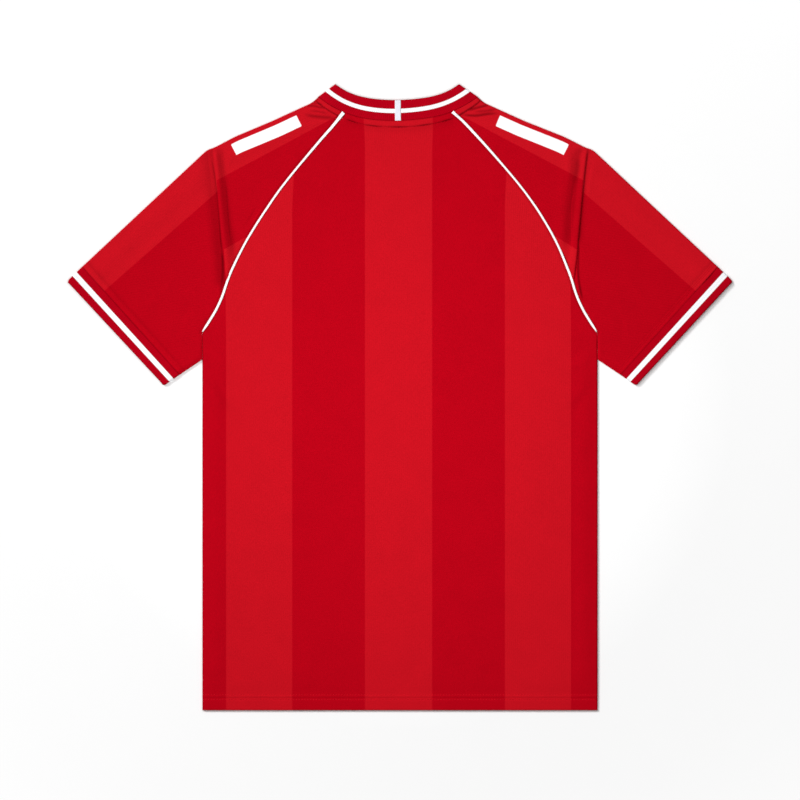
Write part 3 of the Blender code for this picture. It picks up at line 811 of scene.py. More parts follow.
    def upper_rise(self, x: Array, y: Array) -> Array:
        """Height of the middle of the upper knit layer.

        Args:
            x: across the body, on both sides of the middle.
            y: towards the neck.

        Returns:
            The height at each point.
        """
        x, y = np.asarray(x, float), np.asarray(y, float)
        from_hem = y - self.cut.hem_y
        drop = self.hem_drop * (1.0 - ease(from_hem / self.hem_fall))
        hem = self.hem_step * (1.0 - ease((from_hem - self.hem_depth) / self.step_width))
        reach = self.neck_sag_reach
        sag = self.neck_sag * swell(
            np.hypot(x / reach[0], (y - self.neck_sag_centre) / reach[1]), 1.0
        )
        inland = ease(from_hem / 60.0)
        drift = np.sin(x / 41.0 + 0.8) * np.sin(y / 53.0 + x / 190.0)
        drift = drift + 0.6 * np.sin(x / 23.0 - y / 67.0)
        relief = sum(wrinkle.rise(x, y) for wrinkle in self.wrinkles)
        base = self.upper - drop + hem - sag + self.puff(x, y) + relief
        return base + self.drift * inland * drift + self.seam_relief(x, y)


# ---- meshes of cloth ------------------------------------------------------------------------------
@dataclass
class Grid:
    """Points of a sheet's middle surface, in columns by rows, with what its finish reads.

    points are (x, y, z) in millimetres, uv the cloth's own place in millimetres, and bands the
    signed distance inside a stripe, or the painted shade, by the band's name.
    """

    points: Array
    uv: Array
    bands: dict[str, Array]
    closed: bool = False  # the last column is the first one again


class Builder:
    """Turns grids and dashes into objects that ride on the jersey."""

    BODY = "root"

    def __init__(self, cut: Cut) -> None:
        """Keep the cut, whose lean moves every point of the neck."""
        self.cut = cut
        self.collection = bpy.data.collections.new("football_jersey")
        bpy.context.scene.collection.children.link(self.collection)

    def place(self, points: Array) -> Array:
        """Plan points in millimetres as places in metres, with the lean and the wander."""
        moved = points.reshape(-1, 3).copy()
        x, y = moved[:, 0].copy(), moved[:, 1].copy()
        moved[:, 0] += self.cut.lean(y) + self.cut.wander(x, y)
        moved[:, 1] += self.cut.hitched(x, y)
        return moved * MM

    def add(self, name: str, mesh: bpy.types.Mesh, slot: str, finish: Finish) -> bpy.types.Object:
        """Put a mesh in the scene as a piece of the jersey.

        Args:
            name: the piece's name.
            mesh: its mesh, with every vertex in place.
            slot: the name of a material slot; not used.
            finish: its material.

        Returns:
            The new object.
        """
        mesh.materials.append(finish.material())
        mesh.shade_smooth()
        piece = bpy.data.objects.new(name, mesh)
        self.collection.objects.link(piece)
        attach(piece, self.BODY)
        return piece

    def sheet(
        self, name: str, grid: Grid, wall: float, slot: str, finish: Finish
    ) -> bpy.types.Object:
        """A sheet of cloth with a wall round its middle surface.

        Args:
            name: the piece's name.
            grid: its middle surface.
            wall: thickness in millimetres, 0 for a surface that is closed already.
            slot: the name of a material slot, handed on to add.
            finish: its material.

        Returns:
            The new object.
        """
        columns, rows = grid.points.shape[:2]
        kept = columns - 1 if grid.closed else columns
        column, row = np.meshgrid(np.arange(columns - 1), np.arange(rows - 1), indexing="ij")
        corner = [(column, row), (column + 1, row), (column + 1, row + 1), (column, row + 1)]
        corners = np.stack([np.stack(c, axis=-1).reshape(-1, 2) for c in corner], axis=1)
        faces = (corners[..., 0] % kept) * rows + corners[..., 1]
        mesh = bpy.data.meshes.new(name)
        mesh.from_pydata(self.place(grid.points[:kept]).tolist(), [], faces.tolist())
        layer = mesh.uv_layers.new(name="cloth")
        uv = grid.uv[corners[..., 0], corners[..., 1]].reshape(-1) * MM
        layer.data.foreach_set("uv", uv.astype(np.float32))
        for band, values in grid.bands.items():
            attribute = mesh.attributes.new(band, "FLOAT", "POINT")
            attribute.data.foreach_set("value", values[:kept].reshape(-1).astype(np.float32))
        piece = self.add(name, mesh, slot, finish)
        if wall > 0.0:
            solidify = piece.modifiers.new("wall", "SOLIDIFY")
            solidify.thickness = wall * MM
            solidify.offset = 0.0
            solidify.use_even_offset = True
        return piece

    def dashes(
        self, name: str, rows: Sequence[Dashes], slot: str, finish: Finish
    ) -> bpy.types.Object:
        """Rows of stitches as one mesh of small closed dashes.

        Args:
            name: the piece's name.
            rows: the rows of stitches.
            slot: the name of a material slot, handed on to add.
            finish: the thread's material.

        Returns:
            The new object.
        """
        template, faces = Dashes.shape()
        points, quads, count = [], [], 0
        for row in rows:
            for place, across in zip(row.places, row.directions):
                turn = np.array([[across[0], across[1]], [-across[1], across[0]]])
                dash = template * (row.length / 2, row.width / 2, row.height)
                plan = dash[:, :2] @ turn + place[:2]
                points.append(np.column_stack([plan, dash[:, 2] + place[2]]))
                quads += [[index + count for index in face] for face in faces]
                count += len(template)
        mesh = bpy.data.meshes.new(name)
        mesh.from_pydata(self.place(np.vstack(points)).tolist(), [], quads)
        shell = bmesh.new()
        shell.from_mesh(mesh)
        bmesh.ops.recalc_face_normals(shell, faces=shell.faces)
        shell.to_mesh(mesh)
        shell.free()
        return self.add(name, mesh, slot, finish)


@dataclass
class Dashes:
    """A row of stitches: places of their middles, directions along them and their size."""

    places: Array
    directions: Array
    length: float = 2.3
    width: float = 0.75
    height: float = 0.38

    @staticmethod
    def shape() -> tuple[Array, list[list[int]]]:
        """The low bean of one stitch, 1 long each way and 1 high.

        Returns:
            Its points and its faces.
        """
        rings = ((-0.72, 0.72), (0.0, 1.0), (0.72, 0.72))
        turns = np.linspace(0.0, 2 * math.pi, 6, endpoint=False)
        points = [(-1.0, 0.0, 0.0)]
        for along, size in rings:
            points += [(along, size * math.cos(a), size * math.sin(a)) for a in turns]
        points.append((1.0, 0.0, 0.0))
        last = len(points) - 1
        faces = []
        for k in range(6):
            after = (k + 1) % 6
            faces.append([0, 1 + after, 1 + k])
            for ring in range(2):
                a, b = 1 + 6 * ring, 7 + 6 * ring
                faces.append([a + k, a + after, b + after, b + k])
            faces.append([13 + k, 13 + after, last])
        return np.array(points), faces

    @classmethod
    def along(
        cls, path: Path, pitch: float, height_at: Any, side: int = 1, **size: float
    ) -> Dashes:
        """Stitches at an even pitch along a path.

        Args:
            path: the row, in plan.
            pitch: from one stitch to the next.
            height_at: gives the height for arrays of x and y.
            side: 1, or -1 for the mirrored row.
            size: length, width or height of a stitch.

        Returns:
            The row of stitches.
        """
        distance = np.arange(pitch / 2, path.length, pitch)
        plan = path.at(distance) * (side, 1.0)
        directions = path.direction(distance) * (side, 1.0)
        z = height_at(plan[:, 0], plan[:, 1])
        return cls(np.column_stack([plan, z]), directions, **size)


# ---- finishes ---------------------------------------------------------------------------------------
def linear(code: str) -> tuple[float, float, float, float]:
    """A linear colour for an sRGB hex code.

    Args:
        code: such as "c8102e".

    Returns:
        Red, green, blue and 1.
    """
    channels = [int(code[k : k + 2], 16) / 255.0 for k in (0, 2, 4)]
    red, green, blue = (
        c / 12.92 if c <= 0.04045 else ((c + 0.055) / 1.055) ** 2.4 for c in channels
    )
    return red, green, blue, 1.0


def add_node(
    tree: bpy.types.NodeTree, kind: str, inputs: dict[Any, Any] | None = None, **settings: Any
) -> bpy.types.Node:
    """Add a node with its settings, values and links.

    Args:
        tree: the node tree.
        kind: Blender's name of the node.
        inputs: a value, or a socket to link from, for each input by name or number.
        settings: properties of the node.

    Returns:
        The new node.
    """
    node = tree.nodes.new(kind)
    for name, value in settings.items():
        setattr(node, name, value)
    for key, value in (inputs or {}).items():
        if isinstance(value, bpy.types.NodeSocket):
            tree.links.new(value, node.inputs[key])
        else:
            node.inputs[key].default_value = value
    return node


@dataclass(frozen=True)
class Finish:
    """A material: its name, its roughness and how strongly it mirrors."""

    name: str
    roughness: float
    specular: float

    def material(self) -> bpy.types.Material:
        """The material, made at its first use."""
        found = bpy.data.materials.get(self.name)
        if found is None:
            found = bpy.data.materials.new(self.name)
            found.use_nodes = True
            tree = found.node_tree
            shader = tree.nodes["Principled BSDF"]
            shader.inputs["Roughness"].default_value = self.roughness
            shader.inputs["Specular IOR Level"].default_value = self.specular
            self.dress(tree, shader)
        return found

    def dress(self, tree: bpy.types.NodeTree, shader: bpy.types.Node) -> None:
        """Add the pattern's nodes; each finish has its own."""

    def math(self, tree: bpy.types.NodeTree, operation: str, *values: Any) -> bpy.types.NodeSocket:
        """The result of one sum on sockets and numbers."""
        return add_node(tree, "ShaderNodeMath", dict(enumerate(values)), operation=operation).outputs[0]

    def lines(self, tree: bpy.types.NodeTree, place: Any, pitch: float) -> bpy.types.NodeSocket:
        """Even lines across a place in metres, -1 to 1.

        Args:
            tree: the node tree.
            place: the socket with the place.
            pitch: from one line to the next, in millimetres.

        Returns:
            The socket with the lines.
        """
        turned = self.math(tree, "MULTIPLY", place, 2 * math.pi / (pitch * MM))
        return self.math(tree, "SINE", turned)

    def inside(self, tree: bpy.types.NodeTree, band: str, soft: float) -> bpy.types.NodeSocket:
        """1 inside a band of the cloth and 0 outside it.

        Args:
            tree: the node tree.
            band: the attribute that holds the distance inside the band, in millimetres.
            soft: width of its blurred edge.

        Returns:
            The socket with the share.
        """
        distance = add_node(tree, "ShaderNodeAttribute", attribute_name=band).outputs["Fac"]
        ranged = add_node(
            tree,
            "ShaderNodeMapRange",
            {"Value": distance, "From Min": -soft / 2, "From Max": soft / 2},
        )
        return ranged.outputs["Result"]

    def mixed(
        self, tree: bpy.types.NodeTree, share: Any, first: Any, second: Any, blend: str = "MIX"
    ) -> bpy.types.NodeSocket:
        """Two colours mixed.

        Args:
            tree: the node tree.
            share: of the second colour.
            first: a socket or a colour.
            second: a socket or a colour.
            blend: Blender's name of the blend.

        Returns:
            The socket with the colour.
        """
        node = add_node(
            tree,
            "ShaderNodeMix",
            {"Factor": share},
            data_type="RGBA",
            blend_type=blend,
        )
        for socket, value in ((node.inputs[6], first), (node.inputs[7], second)):
            if isinstance(value, bpy.types.NodeSocket):
                tree.links.new(value, socket)
            else:
                socket.default_value = value
        return node.outputs[2]

    def place_on_cloth(self, tree: bpy.types.NodeTree) -> tuple[Any, Any]:
        """The cloth's own place across and along, in metres."""
        uv = add_node(tree, "ShaderNodeUVMap", uv_map="cloth").outputs[0]
        split = add_node(tree, "ShaderNodeSeparateXYZ", {0: uv})
        return split.outputs[0], split.outputs[1]

    def mottle(self, tree: bpy.types.NodeTree, size: float, detail: float) -> bpy.types.NodeSocket:
        """Soft blotches of a size in millimetres, 0 to 1."""
        place = add_node(tree, "ShaderNodeTexCoord").outputs["Object"]
        noise = add_node(
            tree,
            "ShaderNodeTexNoise",
            {"Vector": place, "Scale": 1.0 / (size * MM), "Detail": detail},
        )
        return noise.outputs["Fac"]

    def brighten(self, tree: bpy.types.NodeTree, colour: Any, value: Any) -> bpy.types.NodeSocket:
        """A colour times a value near 1."""
        node = add_node(tree, "ShaderNodeHueSaturation", {"Value": value, "Color": colour})
        return node.outputs[0]

    def raise_surface(
        self, tree: bpy.types.NodeTree, shader: bpy.types.Node, height: Any, depth: float
    ) -> None:
        """Bump of a depth in millimetres for heights from 0 to 1."""
        bump = add_node(tree, "ShaderNodeBump", {"Height": height, "Distance": depth * MM})
        tree.links.new(bump.outputs[0], shader.inputs["Normal"])


@dataclass(frozen=True)
class TonalKnit(Finish):
    """Polyester interlock, knitted in two reds.

    The light stripes show their wales as fine lines and the dark ones a diagonal grain, so the
    eye reads two textures as well as two tones. Real wales are 0.9 mm apart; they are drawn at
    2.4 mm, the finest that still shows with the whole jersey in view.
    """

    light: str
    dark: str
    white: str
    wale_pitch: float = 2.4
    grain_pitch: float = 2.6
    pressed: float = 0.6  # painted shade: darker by this share where the shade attribute is 1, in grooves, creases and seams

    def dress(self, tree: bpy.types.NodeTree, shader: bpy.types.Node) -> None:
        """Add the stripes, the wales and the grain."""
        across, along = self.place_on_cloth(tree)
        light = self.inside(tree, "light_band", 0.9)
        white = self.inside(tree, "white_band", 0.7)
        wales = self.lines(tree, across, self.wale_pitch)
        grain = self.lines(tree, self.math(tree, "ADD", across, along), self.grain_pitch)
        fibre = self.math(tree, "SUBTRACT", self.mottle(tree, 1.6, 3.0), 0.5)
        cloud = self.math(tree, "SUBTRACT", self.mottle(tree, 26.0, 3.0), 0.5)
        shade = add_node(tree, "ShaderNodeAttribute", attribute_name="shade").outputs["Fac"]
        wales = self.math(tree, "MULTIPLY", wales, self.math(tree, "MULTIPLY", light, 0.6))
        plain = self.math(tree, "SUBTRACT", 1.0, light)
        grain = self.math(tree, "MULTIPLY", grain, plain)
        pattern = self.math(tree, "ADD", wales, grain)
        value = self.math(tree, "MULTIPLY_ADD", pattern, 0.042, 1.0)
        value = self.math(tree, "MULTIPLY_ADD", fibre, 0.3, value)
        value = self.math(tree, "MULTIPLY_ADD", cloud, 0.10, value)
        # painted shade, or painted highlight where the shade attribute is below 0
        dark = self.math(tree, "MULTIPLY_ADD", shade, -self.pressed, 1.0)
        value = self.math(tree, "MULTIPLY", value, dark)
        red = self.mixed(tree, light, linear(self.dark), linear(self.light))
        colour = self.mixed(tree, white, self.brighten(tree, red, value), linear(self.white))
        tree.links.new(colour, shader.inputs["Base Color"])
        height = self.math(tree, "MULTIPLY_ADD", pattern, 0.35, 0.5)
        height = self.math(tree, "MULTIPLY_ADD", fibre, 0.9, height)
        self.raise_surface(tree, shader, height, 0.14)


@dataclass(frozen=True)
class RibKnit(Finish):
    """Two-by-one rib, doubled: fine ribs run across the band.

    The ribs catch the light one by one and the valleys look darker, and the white line is
    knitted in, with a cool thread along its middle. Real ribs are 1.1 mm apart; they are drawn
    at 2.2 mm so that they show.
    """

    red: str
    white: str
    thread: str
    rib_pitch: float = 2.2

    def dress(self, tree: bpy.types.NodeTree, shader: bpy.types.Node) -> None:
        """Add the ribs and the white line."""
        along, _ = self.place_on_cloth(tree)
        ribs = self.lines(tree, along, self.rib_pitch)
        fibre = self.math(tree, "SUBTRACT", self.mottle(tree, 1.4, 3.0), 0.5)
        white = self.inside(tree, "white_band", 0.7)
        middle = self.inside(tree, "white_middle", 0.8)
        value = self.math(tree, "MULTIPLY_ADD", ribs, 0.05, 1.0)
        value = self.math(tree, "MULTIPLY_ADD", fibre, 0.26, value)
        cloud = self.math(tree, "SUBTRACT", self.mottle(tree, 11.0, 2.0), 0.5)
        value = self.math(tree, "MULTIPLY_ADD", cloud, 0.22, value)
        # painted shade along the seam and the folded edge of the band
        edge = self.math(tree, "SUBTRACT", 1.0, self.inside(tree, "from_edge", 2.0))
        value = self.math(tree, "MULTIPLY_ADD", edge, -0.6, value)
        beside = self.math(tree, "MULTIPLY", self.inside(tree, "beside_white", 1.2), -0.16)
        red = self.brighten(tree, linear(self.red), self.math(tree, "ADD", value, beside))
        knitted = self.mixed(tree, middle, linear(self.white), linear(self.thread))
        tree.links.new(self.mixed(tree, white, red, knitted), shader.inputs["Base Color"])
        height = self.math(tree, "MULTIPLY_ADD", ribs, 0.4, 0.5)
        self.raise_surface(tree, shader, self.math(tree, "MULTIPLY_ADD", fibre, 0.5, height), 0.2)


@dataclass(frozen=True)
class WovenTrim(Finish):
    """Satin polyester tape, as on piping and neck tape.

    Slanting yarns of 1.5 mm give it a faint twill and a soft shine. Outside its white width the
    red cloth sewn over its flange is painted darker, as painted shade in the pinch beside the bead.
    """

    white: str
    shade: str
    flange: str
    yarn_pitch: float = 1.5

    def dress(self, tree: bpy.types.NodeTree, shader: bpy.types.Node) -> None:
        """Add the slanting yarns."""
        across, along = self.place_on_cloth(tree)
        yarn = self.lines(tree, self.math(tree, "ADD", across, along), self.yarn_pitch)
        share = self.math(tree, "MULTIPLY_ADD", yarn, 0.5, 0.5)
        fibre = self.mottle(tree, 1.2, 2.0)
        worn = self.math(tree, "MULTIPLY", share, fibre)
        colour = self.mixed(tree, worn, linear(self.white), linear(self.shade))
        # painted shade: the flange outside the white width is a darker red
        inside = self.inside(tree, "white_band", 0.3)
        colour = self.mixed(tree, inside, linear(self.flange), colour)
        tree.links.new(colour, shader.inputs["Base Color"])
        self.raise_surface(tree, shader, share, 0.08)


@dataclass(frozen=True)
class SewingThread(Finish):
    """Spun polyester thread: matt, a tone lighter than the cloth, with a twist of 0.8 mm."""

    light: str
    dark: str

    def dress(self, tree: bpy.types.NodeTree, shader: bpy.types.Node) -> None:
        """Add the twist."""
        place = add_node(tree, "ShaderNodeTexCoord").outputs["Object"]
        split = add_node(tree, "ShaderNodeSeparateXYZ", {0: place})
        slant = self.math(tree, "ADD", split.outputs[0], split.outputs[1])
        twist = self.math(tree, "MULTIPLY_ADD", self.lines(tree, slant, 0.8), 0.5, 0.5)
        colour = self.mixed(tree, twist, linear(self.dark), linear(self.light))
        tree.links.new(colour, shader.inputs["Base Color"])
        self.raise_surface(tree, shader, twist, 0.08)


@dataclass(frozen=True)
class PaperFloor(Finish):
    """Matt white paper on a light table, lit from beneath, least in the middle."""

    white: str
    shade: str
    glow: tuple[float, float] = (0.06, 0.36)
    glow_from: tuple[float, float] = (0.4, 0.85)  # metres from the middle

    def dress(self, tree: bpy.types.NodeTree, shader: bpy.types.Node) -> None:
        """Add the fibre."""
        colour = self.mixed(tree, self.mottle(tree, 40.0, 2.0), linear(self.white), linear(self.shade))
        tree.links.new(colour, shader.inputs["Base Color"])
        shader.inputs["Emission Color"].default_value = linear(self.white)
        place = add_node(tree, "ShaderNodeTexCoord").outputs["Object"]
        out = add_node(tree, "ShaderNodeVectorMath", {0: place}, operation="LENGTH")
        near, far = self.glow_from
        ranged = add_node(
            tree,
            "ShaderNodeMapRange",
            {
                "Value": out.outputs["Value"],
                "From Min": near,
                "From Max": far,
                "To Min": self.glow[0],
                "To Max": self.glow[1],
            },
        )
        tree.links.new(ranged.outputs["Result"], shader.inputs["Emission Strength"])


KNIT = TonalKnit("polyester_interlock_knit", 0.72, 0.0, light="c2111e", dark="b30416", white="fcfdff")
RIB = RibKnit("polyester_rib_knit", 0.85, 0.0, red="ae0317", white="fcfdff", thread="e9edf6")
# the piping's flange is the cloth's red darkened as painted shade
PIPING_TAPE = WovenTrim("satin_polyester_piping", 0.5, 0.3, white="ffffff", shade="f6f7fa", flange="950311")
NAPE_TAPE = WovenTrim("woven_polyester_tape", 0.6, 0.2, white="e9e9f2", shade="dcdde9", flange="e9e9f2")
RED_THREAD = SewingThread("spun_polyester_thread_red", 0.8, 0.0, light="ea1c2c", dark="c41220")
CLOTH_THREAD = SewingThread("spun_polyester_thread_cloth", 0.8, 0.0, light="c2111e", dark="aa0a18")
TACK_THREAD = SewingThread("spun_polyester_thread_pink", 0.8, 0.0, light="f0b4b4", dark="c87c80")
FLOOR = PaperFloor("matt_white_paper", 0.9, 0.1, white="f6f6f6", shade="f5f5f5")


# ---- stripes of the cloth ---------------------------------------------------------------------------
@dataclass(frozen=True)
class Stripes:
    """The tonal stripes, as signed distances inside the light ones, in millimetres."""

    centre: float = -1.75
    half_widths: tuple[float, float, float] = (40.35, 127.5, 206.8)
    at_neck: Point = (1.5, 1.0)  # near the neck it lies this far to the right, and is wider
    at_neck_from: float = 296.0
    at_neck_full: float = 330.0
    yoke_line: tuple[Point, Point] = ((84.6, 332.4), (217.8, 261.6))
    gusset_line: tuple[Point, Point] = ((182.2, 194.8), (210.6, 178.2))
    cuff_line: tuple[Point, Point] = ((220.2, 246.0), (348.6, 133.2))
    fold_depth: float = 34.5
    shoulder_band: tuple[float, float] = (34.0, 122.0)  # white, along the fold
    shoulder_band_from_fold: tuple[float, float] = (6.0, 20.0)

    def on_body(self, x: Array, y: Array) -> Array:
        """Light in the middle and again beside the dark stripes.

        Args:
            x: across the body.
            y: towards the neck.

        Returns:
            The distance inside a light stripe.
        """
        near = ease((y - self.at_neck_from) / (self.at_neck_full - self.at_neck_from))
        away = np.abs(x - self.centre - self.at_neck[0] * near)
        inner, middle, outer = self.half_widths
        side = np.minimum(away - middle, outer - away)
        return np.maximum(inner + self.at_neck[1] * near - away, side)

    @staticmethod
    def above(line: tuple[Point, Point], x: Array, y: Array) -> Array:
        """Distance of points above a line that runs away from the neck."""
        start, end = np.array(line[0]), np.array(line[1])
        along = (end - start) / np.linalg.norm(end - start)
        return along[0] * (y - start[1]) - along[1] * (x - start[0])

    def on_sleeve(self, x: Array, y: Array, past_crest: Array, from_fold: Array, upper: Array) -> Array:
        """Light along the shoulder fold and, on the body side of the roll, below the gusset line.

        Args:
            x: across the body, without its sign.
            y: towards the neck.
            past_crest: distance from the crest of the roll, positive towards the cuff.
            from_fold: distance from the shoulder fold.
            upper: True on the upper layer.

        Returns:
            The distance inside a light stripe.
        """
        shoulder = np.maximum(
            self.above(self.yoke_line, x, y), -self.above(self.gusset_line, x, y)
        )
        top = np.where(past_crest > 0, self.above(self.cuff_line, x, y), shoulder)
        return np.where(upper, top, self.fold_depth - from_fold)

    def on_shoulder(self, along_fold: Array, from_fold: Array) -> Array:
        """Distance inside the plain white band below the shoulder fold."""
        start, end = self.shoulder_band
        near, far = self.shoulder_band_from_fold
        ends = np.minimum(along_fold - start, end - along_fold)
        return np.minimum(ends, np.minimum(from_fold - near, far - from_fold))


class Side(Enum):
    """The two sides of the jersey, by the sign of X."""

    LEFT = -1
    RIGHT = 1

    @property
    def word(self) -> str:
        """The side's name in lower case."""
        return self.name.lower()


def mirrored(points: Array, side: int) -> Array:
    """Points on their own side of the middle."""
    return points * (side, 1.0, 1.0)


# ---- body ---------------------------------------------------------------------------------------------
@dataclass
class Panel:
    """What the back and the front share: columns of points down from the neck and raglan seam."""

    build: Builder
    lay: Lay
    stripes: Stripes
    neck_columns: int = 20
    raglan_columns: int = 76
    rows_from_top: tuple[float, ...] = (
        0.0, 0.5, 1.0, 1.6, 2.4, 3.4, 4.6, 6.0, 7.0, 7.6, 8.0, 8.4, 9.0, 10.0, 11.5, 13.5, 16.0,
        19.0, 23.0, 28.0, 34.0, 44.0,
    )  # fmt: skip
    rows_from_hem: tuple[float, ...] = (
        34.0, 30.0, 26.0, 23.0, 21.0, 19.8, 19.0, 18.4, 17.8, 17.2, 16.4, 15.4, 14.7, 14.3, 13.9,
        13.3, 12.8, 12.3, 11.4, 10.0, 8.0, 6.0, 4.0, 2.5, 1.5, 0.9, 0.4, 0.0,
    )  # fmt: skip
    long_rows: int = 146
    hem_row_upper: float = 18.4
    hem_row_lower: float = 12.8
    hem_line: float = 14.6
    hem_pitch: float = 3.4
    neck_row: float = 8.0
    neck_pitch: float = 3.8

    def top_boundary(self, neck: Path, raglan: Path) -> Array:
        """The panel's upper edge from the centre line, along the neck and the raglan seam.

        Args:
            neck: the neck seam.
            raglan: the panel's edge at the raglan seam.

        Returns:
            Plan points.
        """
        at = neck.nearest_run(raglan.points[0])
        along_neck = neck.between(0.0, at).even(self.neck_columns + 1)[:-1]
        along_neck[:, 1] -= self.lay.cut.seam_gap / 2
        return np.vstack([along_neck, raglan.even(self.raglan_columns)])

    def rows(self, y_top: float, y_bottom: float) -> Array:
        """Places of a column's points, from its top to the hem."""
        top = y_top - np.array(self.rows_from_top)
        hem = y_bottom + np.array(self.rows_from_hem)
        inner = np.linspace(top[-1], hem[0], self.long_rows + 2)[1:-1]
        return np.concatenate([top, inner, hem])

    def grooves(self, below_neck: Array, from_hem: Array) -> Array:
        """How deep rows of stitches sink the cloth.

        Args:
            below_neck: distance below the neck seam, large elsewhere.
            from_hem: distance above the hem's edge.

        Returns:
            The depth at each point.
        """
        lay = self.lay
        neck = 1.6 * swell(below_neck - self.neck_row + 0.4, lay.groove_width)
        upper = swell(from_hem - self.hem_row_upper, lay.groove_width)
        lower = swell(from_hem - self.hem_row_lower, lay.groove_width)
        turned = 0.9 * swell(from_hem - self.hem_line, 0.7)
        return lay.groove * (neck + upper + lower + turned)

    def shade(self, x: Array, y: Array, below_neck: Array, upper: bool) -> Array:
        """Painted shade of the sewn lines and edges, 0 to 1, below 0 for painted highlight.

        Args:
            x: across the body.
            y: towards the neck.
            below_neck: distance below the neck seam, large elsewhere.
            upper: True on the back.

        Returns:
            The shade at each point.
        """
        from_hem = y - self.lay.cut.hem_y
        # painted shade at the hem's turned and bottom edges, painted highlight between its rows
        dots = 0.78 + 0.22 * np.cos(2 * math.pi * x / self.hem_pitch)
        turned = 0.62 * dots * swell(from_hem - self.hem_line, 1.3)
        turned = turned - 0.3 * swell(from_hem - 16.8, 1.6)
        edge = 0.4 * swell(from_hem, 1.4)
        # painted shade: dotted along the row below the collar, at the collar's seam and softly below the row
        neck_dots = 0.6 + 0.4 * np.cos(2 * math.pi * x / self.neck_pitch)
        neck = 0.95 * neck_dots * swell(below_neck - self.neck_row + 0.6, 1.9)
        neck = neck + 0.4 * swell(below_neck, 1.5)
        under = ease((below_neck - self.neck_row) / 1.0)
        neck = neck + 0.14 * under * (1.0 - ease((below_neck - self.neck_row) / 11.0))
        shade = np.where(neck > 0.0, neck, turned + edge)
        if upper:
            # painted shade along the left side's rolled edge only, and that of the troughs and the piping
            beside = ease((self.lay.cut.underarm_y - y) / 6.0)
            side = 0.5 * beside * swell(self.lay.cut.body_half + x, 2.0)
            shade = np.maximum(shade, side) + self.lay.shade(x, y)
        return shade

    def grid(self, left: list[Array], right: list[Array], below: list[Array], upper: bool) -> Grid:
        """Both halves of the panel as one grid, with its stripes.

        Args:
            left: columns of points of the left half, as if on the right.
            right: columns of points from the centre line outwards.
            below: for each column, the distance of its points below the neck seam.
            upper: True on the back.

        Returns:
            The grid.
        """
        points = np.vstack([mirrored(np.array(left)[:0:-1], -1), np.array(right)])
        below_neck = np.vstack([np.array(below)[:0:-1], np.array(below)])
        x, y = points[..., 0], points[..., 1]
        bands = {
            "light_band": self.stripes.on_body(x, y),
            "white_band": np.full(x.shape, -9.0),
            "shade": self.shade(x, y, below_neck, upper),
        }
        return Grid(points, points[..., :2], bands)


@dataclass
class BackPanel(Panel):
    """The back: on top, its side edges rolled down to the front."""

    flat: Point = (0.4845, 0.724)  # with 3.4 mm rolled down at each side and the hem's edge
    area: float = 0.302
    roll_width: float = 1.6
    roll_columns: int = 9
    edge_round: float = 0.35  # the hem's folded edge is rounded down
    edge_round_width: float = 1.8

    def relief(self, x: Array, y: Array, y_top: float, at_neck: bool) -> Array:
        """Height of the middle of the back at one column's points."""
        from_hem = y - self.lay.cut.hem_y
        below = y_top - y if at_neck else np.full_like(y, 99.0)
        z = self.lay.upper_rise(x, y)
        step = self.lay.pressed(below)
        rounding = self.edge_round * swell(from_hem, self.edge_round_width)
        band = 0.12 * swell(from_hem - 16.5, 1.8)
        return z + step - rounding + band - self.grooves(below, from_hem)

    def make(self) -> bpy.types.Object:
        """Build the back.

        Returns:
            The piece.
        """
        cut, lay = self.lay.cut, self.lay
        side = cut.body_half - lay.wall / 2
        inner = side - self.roll_width
        edge = cut.raglan_edge(-cut.seam_gap / 2, cut.back_neck)
        top = self.top_boundary(cut.back_neck, edge)
        top = top[top[:, 0] < inner - self.roll_width]
        halves = []
        for sign in (-1.0, 1.0):
            half, below = [], []
            for x, y_top in top:
                y = self.rows(y_top, cut.hem_y)
                across = np.full_like(y, x)
                at_neck = bool(x < edge.points[0, 0])
                z = self.relief(sign * across, y, y_top, at_neck)
                half.append(np.column_stack([across, y, z]))
                below.append(y_top - y if at_neck else np.full_like(y, 99.0))
            for turn in np.linspace(0.0, math.pi / 2, self.roll_columns):
                reach = inner + self.roll_width * math.sin(turn)
                side_top = np.interp(reach, edge.points[:, 0], edge.points[:, 1]) - cut.seam_gap
                y = self.rows(side_top, cut.hem_y)
                z = self.relief(np.full_like(y, sign * inner), y, side_top, False)
                radius = z - (lay.wall + cut.seam_gap)
                ramp = ease((cut.underarm_y - y) / lay.side_ramp)
                across = side - radius * (1.0 - math.sin(turn))
                half.append(
                    np.column_stack([across, y, z - ramp * radius * (1.0 - math.cos(turn))])
                )
                below.append(np.full_like(y, 99.0))
            halves.append(half)
        grid = self.grid(*halves, below, True)
        piece = self.build.sheet("back", grid, lay.wall, "knit", KNIT)
        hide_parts("back_panel")
        return piece

    def stitch(self) -> bpy.types.Object:
        """Sew the hem's twin rows.

        Returns:
            The piece.
        """
        cut = self.lay.cut
        rows = []
        reach = cut.body_half - 2.5
        for from_hem, length in ((self.hem_row_upper, 1.9), (self.hem_row_lower, 2.4)):
            y = cut.hem_y + from_hem
            path = Path([(-reach, y), (reach, y)])
            rows.append(Dashes.along(path, self.hem_pitch, self.thread_height, length=length))
        return self.build.dashes("back_stitches", rows, "knit", RED_THREAD)

    def stitch_neck(self) -> bpy.types.Object:
        """Sew the row below the collar.

        Returns:
            The piece.
        """
        neck = Path(self.lay.cut.back_neck.points - (0.0, self.neck_row))
        end = neck.nearest_run(np.array([62.0, neck.points[-1, 1] - 22.0]))
        stretch = neck.between(0.0, end)
        rows = [
            Dashes.along(
                stretch, self.neck_pitch, self.thread_height, side.value, length=2.0, width=1.2
            )
            for side in Side
        ]
        return self.build.dashes("neck_stitches", rows, "knit", CLOTH_THREAD)

    def thread_height(self, x: Array, y: Array) -> Array:
        """Height at which thread lies in its groove."""
        return self.lay.upper_rise(x, y) + self.lay.wall / 2 - self.lay.groove * 0.8


